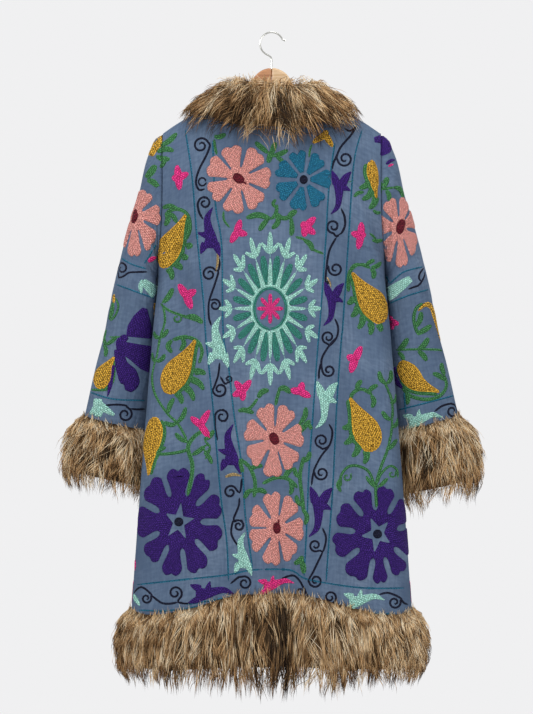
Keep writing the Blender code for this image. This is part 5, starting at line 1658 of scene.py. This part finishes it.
def bandLattice(edge, normals, way, lengths, pile, pressed, closed):
    out = unit(normals - way * np.sum(normals * way, axis=-1, keepdims=True))
    room = 1 - pressed * np.clip(-out[:, :1], 0, 1) ** 2
    drops = np.linspace(0, furPlan["past"], furPlan["rows"])
    base, reach = [], []
    for drop in drops:
        height = np.interp(drop, *pile)
        base.append(edge + way * drop * lengths)
        reach.append(out * height * room)
    return {"base": np.array(base), "reach": np.array(reach), "drops": drops, "closed": closed}


def collarLattice():
    turns = np.linspace(-furPlan["collarTurn"], furPlan["collarTurn"], furPlan["collarColumns"])
    reaches = np.linspace(0, furPlan["past"], furPlan["rows"])
    base, reachRows = [], []
    behind, over = furPlan["collarTop"]
    for reach in reaches:
        baseRow, outRow = [], []
        rise = np.interp(reach, furPlan["collarReach"], furPlan["collarRise"])
        lift = np.interp(reach, furPlan["collarReach"], furPlan["collarLift"])
        for turn in turns:
            point, normal = neckPoint(abs(turn), reach)
            near = math.cos(min(abs(turn), 1) ** furPlan["collarTopShape"] * math.pi / 2)
            top = over + (behind - over) * max(0, near)
            flip = np.array([-1 if turn < 0 else 1, 1, 1])
            baseRow.append((point + normal * furPlan["collarBase"]) * flip)
            outRow.append((normal * lift * (0.5 + 0.5 * top) + np.array([0, 0, rise * top])) * flip)
        base.append(baseRow)
        reachRows.append(outRow)
    return {"base": np.array(base), "reach": np.array(reachRows), "drops": reaches, "closed": False}


def neckPoint(turn, reach):
    side = "back" if turn <= 1 else "front"
    angle = math.pi / 2 * (1 - abs(1 - turn) ** furPlan["collarCrowd"])
    half = form["neckHalf"] + (furPlan["collarHalf"] - form["neckHalf"]) * reach
    neck = form["neckDrop"][side]
    deep = neck + (furPlan["collarDrop"][side] - neck) * reach

    def onShoulders(across, drop):
        height = shoulderLine(across) - drop
        y = bodyDepth(across, height, drop, side) * (-1 if side == "back" else 1)
        return np.array([across, y, height], float)

    atNeck, squarer = furPlan["collarFall"]
    x, drop = half * math.sin(angle), deep * math.cos(angle) ** (atNeck - squarer * min(reach, 1))
    here = onShoulders(x, drop)
    normal = np.cross(onShoulders(x + 1e-4, drop) - here, onShoulders(x, drop + 1e-4) - here)
    normal = unit(normal if side == "front" else -normal)
    normal = -normal if normal[2] < 0 else normal
    ridge = unit(np.array([form["shoulderSlope"] + 2 * form["shoulderCurve"] * x, 0, 1]))
    near = 1 - fade(drop / furPlan["collarRidge"])
    return here, unit(normal * (1 - near) + ridge * near)


def bandAt(band, across, drop, height):
    rows, columns = band["base"].shape[:2]
    if band["closed"]:
        across = across % 1.0
    spot = np.stack([
        np.clip(drop / band["drops"][-1], 0, 1) * (rows - 1),
        np.clip(across, 0, 1) * (columns - 1),
    ], axis=-1)
    base, reach = between(band["base"], spot)[0], between(band["reach"], spot)[0]
    past = np.maximum(drop - band["drops"][-1], 0)[:, None]
    downward = between(band["base"], spot)[1] * (rows - 1) / band["drops"][-1]
    start = np.minimum(drop, 0)[:, None] * downward
    return base + reach * height[:, None] + past * downward + start, unit(reach)


hemFur = {"locks": 1150, "each": 9, "length": 0.054, "girth": 0.58, "depth": 0.130, "seed": 41}
collarFur = {"locks": 900, "each": 9, "length": 0.044, "girth": 0.55, "depth": 0.085, "seed": 44}
cuffFur = {"locks": 520, "each": 9, "length": 0.052, "girth": 0.30, "depth": 0.132, "seed": 45}
furSettings = {
    "hem_fur_back": hemFur,
    "hem_fur_front_right": {**hemFur, "locks": 520, "each": 6, "girth": 0.27, "seed": 42},
    "hem_fur_front_left": {**hemFur, "locks": 520, "each": 6, "girth": 0.27, "seed": 43},
    "collar_fur": collarFur,
    "cuff_fur_right": cuffFur,
    "cuff_fur_left": {**cuffFur, "seed": 46},
}
# Two numbers are a range, or for lockTint a middle and its spread
strandLook = {
    "firstDrop": 0.06,
    "dropSpan": 0.98,
    "crowding": 0.80,
    "rising": 0.15,
    "risingDrop": (-0.040, 0.015),
    "risingWay": -0.5,
    "risingTint": 0.55,
    "lockLength": (0.75, 1.25),
    "lockHeight": (0.72, 1.10),
    "lockSway": 0.012,
    "lockTint": (0.60, 0.27),
    "darkTip": 0.36,
    "darkTipLow": 0.50,  # more of them from lowFrom down
    "lowFrom": 0.80,
    "darkTipEnd": 1.9,
    "length": (0.8, 1.12),
    "tipAcross": 0.0024,
    "tipDrop": 0.005,
    "rootAcross": 0.0060,
    "rootDrop": 0.004,
    "highestRoot": -0.015,
    "height": (0.86, 1.08),
    "flyaway": 0.07,
    "flyawayRise": (0.05, 0.24),
    "flyawayTip": 0.003,
    "shares": (0.0, 0.36, 0.74, 1.0),
    "lifts": (0.10, 0.78, 1.0, 0.98),
    "widths": (0.75, 1.0, 0.72),
    "bend": 0.25,
    "curve": 0.8,
    "thick": (0.00040, 0.00064),
    "tint": 0.15,
}
# A strand has three rings of three points and a tip
strandQuads = [[3 * n + m, 3 * n + (m + 1) % 3, 3 * n + (m + 1) % 3 + 3, 3 * n + m + 3]
               for n in range(2) for m in range(3)]
strandTris = [[2, 1, 0], [6, 7, 9], [7, 8, 9], [8, 6, 9]]
strandPoints = 10


def furStrands(name, band, plan, sway, darkness, longer):
    # Locks of strands that lean together to one tip. Each strand is a closed, three-sided
    # spike with two bends, drawn 1 mm thick so that single strands show.
    rng, look = np.random.default_rng(plan["seed"]), strandLook
    locks, each = plan["locks"], plan["each"]
    perGirth, perDepth = 1 / plan["girth"], 1 / plan["depth"]
    lockAcross = (np.arange(locks) + rng.uniform(0, 1, locks)) / locks
    rng.shuffle(lockAcross)
    even = (np.arange(locks) + rng.uniform(0, 1, locks)) / locks
    lockDrop = look["firstDrop"] + look["dropSpan"] * even ** look["crowding"]
    lockDrop += longer(lockAcross) * lockDrop
    rising = rng.uniform(0, 1, locks) < look["rising"]
    lockDrop = np.where(rising, rng.uniform(*look["risingDrop"], locks), lockDrop)
    lockLength = plan["length"] * rng.uniform(*look["lockLength"], locks)
    lockHeight = rng.uniform(*look["lockHeight"], locks)
    lockSway = rng.normal(0, look["lockSway"], locks) + sway(lockAcross)
    lockTint = np.clip(rng.normal(*look["lockTint"], locks) - darkness(lockAcross, lockDrop), 0.02, 0.98)
    lockTint = np.where(rising, np.maximum(lockTint, look["risingTint"]), lockTint)
    darkShare = look["darkTip"] + look["darkTipLow"] * (lockDrop > look["lowFrom"])
    darkTip = rng.uniform(0, 1, locks) < darkShare

    k = np.repeat(np.arange(locks), each)
    count = len(k)
    length = lockLength[k] * rng.uniform(*look["length"], count)
    tipAcross = lockAcross[k] + rng.normal(0, look["tipAcross"], count) * perGirth
    tipDrop = lockDrop[k] + rng.normal(0, look["tipDrop"], count) * perDepth
    rootAcross = lockAcross[k] + (rng.normal(0, look["rootAcross"], count) - lockSway[k]) * perGirth
    fall = np.where(rising[k], look["risingWay"], 1) * length * perDepth
    rootDrop = tipDrop - fall + rng.normal(0, look["rootDrop"], count) * perDepth
    rootDrop += np.maximum(look["highestRoot"] - rootDrop, 0)
    height = lockHeight[k] * rng.uniform(*look["height"], count)
    flyaway = rng.uniform(0, 1, count) < look["flyaway"]
    height = np.where(flyaway, height + rng.uniform(*look["flyawayRise"], count), height)

    centres = []
    for share, lift in zip(look["shares"], look["lifts"]):
        bend = math.sin(math.pi * share) * lockSway[k] * look["bend"] * perGirth
        spotAcross = rootAcross + (tipAcross - rootAcross) * share ** look["curve"] + bend
        spotDrop = rootDrop + (tipDrop - rootDrop) * share
        spots, out = bandAt(band, spotAcross, spotDrop, height * lift)
        centres.append(spots)
    centres = np.array(centres)
    centres[3] += out * np.where(flyaway, look["flyawayTip"], 0)[:, None]
    thick = rng.uniform(*look["thick"], count)
    rings = []
    for n, width in enumerate(look["widths"]):
        way = unit(centres[n + 1] - centres[max(n - 1, 0)])
        sideways = unit(np.cross(way, out))
        outward = np.cross(sideways, way)
        ring = []
        for m in range(3):
            angle = 2 * math.pi * m / 3
            offset = sideways * math.cos(angle) + outward * math.sin(angle)
            ring.append(centres[n] + offset * (thick * width)[:, None])
        rings.append(np.stack(ring, axis=1))
    points = np.concatenate([np.concatenate(rings, axis=1), centres[3][:, None]], axis=1)

    first = (np.arange(count) * strandPoints)[:, None, None]
    faces = [(first + np.array(part)[None]).reshape(count, -1) for part in (strandQuads, strandTris)]
    corners = np.concatenate(faces, axis=1).ravel()
    sizes = np.tile(np.array([4] * len(strandQuads) + [3] * len(strandTris)), count)
    tint = np.clip(lockTint[k] + rng.normal(0, look["tint"], count), 0.01, 0.99)
    uv = np.zeros((count, strandPoints, 2))
    uv[:, :, 0] = tint[:, None]
    for n, share in enumerate(look["shares"][:3]):
        uv[:, 3 * n:3 * n + 3, 1] = (share * np.where(darkTip[k], 1 + share, 1.0))[:, None]
    uv[:, 9, 1] = np.where(darkTip[k], look["darkTipEnd"], 1.0)
    piece = meshPiece(name + "_strands", points.reshape(-1, 3), corners, sizes, uv.reshape(-1, 2),
                      furMaterial, "strand", "fur")
    print("fur", name, count, "strands")
    return piece


furMaterial, gapShadeBackingMaterial = fauxFur(), furBackingWithGapShade()


# A closed sheet lifted part way into the pile: the underfur, and painted shade between the locks
def backingSheet(name, band, node):
    end = furPlan["collarBackingEnd" if node == "collar_fur" else "backingEnd"]
    share = band["drops"] <= end
    grid = band["base"][share] + band["reach"][share] * furPlan["backingLift"]
    if band["closed"]:
        grid[:, -1] = grid[:, 0]
    flat = flatMap(grid, 0, 0)
    print("backing", name, gridSize(grid))
    piece = sheetMesh(name, grid, flat, gapShadeBackingMaterial, furPlan["backing"], -1.0, band["closed"])
    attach(piece, "root")
    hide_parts(node)
    return piece


down = np.array([0.0, 0.0, -1.0])
bands = {}
for name in ("back", "frontRight", "frontLeft"):
    edge, out = panels[name]["place"][-1], panels[name]["out"][-1]
    lengths = (edge[:, 2] - furPlan["hemFoot"])[:, None]
    bands["hem_fur_" + clothPieces[name]["node"]] = bandLattice(
        edge - out * furPlan["hemInset"], out, down, lengths, furPlan["hemPile"], 0.0, False)
for node, name in (("cuff_fur_right", "sleeveRight"), ("cuff_fur_left", "sleeveLeft")):
    place, out = panels[name]["place"], panels[name]["out"][-1]
    way = unit(unit(place[-1, :-1].mean(0) - place[-14, :-1].mean(0)) + furPlan["cuffLean"] * down)
    flip = np.array([1 if name == "sleeveRight" else -1, 1, 1])
    band = bandLattice(place[-1] * flip, out * flip, way * flip, furPlan["cuffLength"][node],
                       furPlan["cuffPile"], furPlan["pressed"], True)
    band["base"] = clearOfBody(band["base"], furPlan["cuffClear"]) * flip
    band["reach"] = band["reach"] * flip
    bands[node] = band
bands["collar_fur"] = collarLattice()


def hemSway(across):
    return 0.006 * np.sin(across * 19) + (across - 0.5) * 0.014


def collarSway(across):
    # Combed away from a parting a little to the right of the middle
    return np.tanh((across - 0.507) * 30) * 0.014 + 0.003 * np.sin(across * 40)


def cuffSway(across):
    return 0.008 * np.sin(across * 2 * math.pi * 2 + 1.0)


def hemLonger(across):
    return 0.07 * np.clip(1 - ((across - 0.5) / 0.38) ** 2, 0, 1)


def evenLength(across):
    return 0 * across


# Darker and lighter patches: place round the band, width, top and strength
patchFade = 0.30
hemPatches = [
    (0.515, 0.045, 0.02, 0.62),
    (0.80, 0.022, 0.35, 0.34),
]
collarPatches = [
    (0.447, 0.020, 0.25, 0.50),
    (0.530, 0.010, 0.05, 0.45),
    (0.575, 0.020, 0.35, 0.35),
    (0.400, 0.022, 0.45, 0.30),
    (0.504, 0.011, 0.20, -0.35),
]


def patchy(across, drop, patches):
    total = 0.0
    for at, wide, top, strength in patches:
        total = total + strength * (np.exp(-(((across - at) / wide) ** 2)) * fade((drop - top) / patchFade))
    return total


def mottled(across, drop, depth):
    return depth * np.sin(across * 43 + 3 * drop) * np.sin(across * 17 + 0.6)


def hemDark(across, drop):
    mottle = 0.12 * np.sin(across * 31 + 2 * drop) * np.sin(across * 13 + 1)
    return patchy(across, drop, hemPatches) + mottle + 0.22 * fade(drop - 0.35) - 0.06


def collarDark(across, drop):
    return patchy(across, drop, collarPatches) + mottled(across, drop, 0.12) + 0.16 * fade(drop - 0.3)


def otherDark(across, drop):
    return mottled(across, drop, 0.15) + 0.16 * fade(drop - 0.4) - 0.08


# Each band's sway, darkness and length, and its backing's name, cut and area
furKinds = {
    "hem_fur_back": (hemSway, hemDark, hemLonger, "hem_back", (0.645, 0.131), 0.0705),
    "hem_fur_front_right": (hemSway, otherDark, evenLength, "hem_front_right", (0.301, 0.113), 0.0305),
    "hem_fur_front_left": (hemSway, otherDark, evenLength, "hem_front_left", (0.301, 0.113), 0.0305),
    "collar_fur": (collarSway, collarDark, evenLength, "collar", (0.80, 0.082), 0.0449),
    "cuff_fur_right": (cuffSway, otherDark, evenLength, "cuff_right", (0.437, 0.119), 0.0494),
    "cuff_fur_left": (cuffSway, otherDark, evenLength, "cuff_left", (0.437, 0.104), 0.0431),
}
for node, band in bands.items():
    sway, dark, longer, name, cut, area = furKinds[node]
    strands = furStrands(node, band, furSettings[node], sway, dark, longer)
    backingSheet("fur_backing_" + name, band, node)
print("fur made")

# Hanger: its CAD pieces keep their shape
for node, material in (
    ("hanger_left", lacqueredWood("red stained beech", "#c58d62", "#9c6441")),
    ("hanger_right", lacqueredWood("natural beech", "#e2c29b", "#c99f6e")),
    ("hanger_hook", platedWire()),
):
    materials = nodes[node].data.materials
    for k in range(len(materials)):
        materials[k] = material
print("hanger finished")


# Stage, light and camera
studio = {
    "wall": "#f0f0f1",
    "floor": "#e9e9ea",
    "floorShade": "#e4e4e5",
    "floorZ": -1.90,
    "floorRadius": 1.15,
    "sky": 0.62,
    "lights": {  # place, aim, size and power
        "key_light": ((-1.5, -2.4, 0.7), (0, 0, -0.55), 1.4, 36),
        "fill_light": ((1.9, -2.0, -0.5), (0, 0, -0.6), 1.8, 14),
        "top_light": ((0.2, -0.3, 1.5), (0, 0, -0.4), 1.4, 14),
        "rear_light": ((0.4, 2.6, 0.4), (0, 0, -0.6), 1.8, 26),
    },
}
bpy.ops.object.select_all(action="DESELECT")
bpy.ops.mesh.primitive_circle_add(vertices=64, radius=studio["floorRadius"], fill_type="NGON",
                                  location=(0, 0, studio["floorZ"]))
floor = bpy.context.object
floor.name = "studio_floor"
bpy.ops.object.transform_apply(location=True, rotation=True, scale=True)
floorMaterial, floorTree, floorShader = newMaterial("matt floor paint")
floorSpot = addNode(floorTree, "TexCoord").outputs["Object"]
mottle = addNode(floorTree, "TexNoise", {"Scale": 6.0, "Detail": 3.0}, {"Vector": floorSpot})
paintStops = [(0.3, studio["floorShade"]), (0.7, studio["floor"])]
paint = addNode(floorTree, "ValToRGB", {"stops": paintStops}, {"Fac": mottle})
setNode(floorTree, floorShader, {"Roughness": 0.8}, {"Base Color": paint})
floor.data.materials.append(floorMaterial)

world = bpy.data.worlds.new("soft studio")
bpy.context.scene.world = world
world.use_nodes = True
sky = world.node_tree
sky.nodes.clear()
lighting = addNode(sky, "Background", {"Color": (1, 1, 1, 1), "Strength": studio["sky"]})
backdrop = addNode(sky, "Background", {"Color": linear(studio["wall"]), "Strength": 1.0})
toCamera = addNode(sky, "LightPath").outputs["Is Camera Ray"]
chosen = addNode(sky, "MixShader", None, {0: toCamera, 1: lighting, 2: backdrop})
addNode(sky, "OutputWorld", None, {"Surface": chosen})

for name, (place, aim, size, power) in studio["lights"].items():
    lamp = bpy.data.lights.new(name, "AREA")
    lamp.shape = "DISK"
    lamp.size = size
    lamp.energy = power
    holder = bpy.data.objects.new(name, lamp)
    bpy.context.scene.collection.objects.link(holder)
    holder.location = place
    holder.rotation_euler = (Vector(aim) - Vector(place)).to_track_quat("-Z", "Y").to_euler()

bpy.context.scene.view_settings.view_transform = "Standard"
camera = bpy.data.cameras.new("camera")
camera.lens = photo["lens"]
camera.sensor_width = photo["film"]
cameraObject = bpy.data.objects.new("camera", camera)
bpy.context.scene.collection.objects.link(cameraObject)
cameraObject.location = (photo["aim"][0], -photo["distance"], photo["aim"][1])
cameraObject.rotation_euler = (math.pi / 2, 0, 0)
bpy.context.scene.camera = cameraObject
print("studio set")
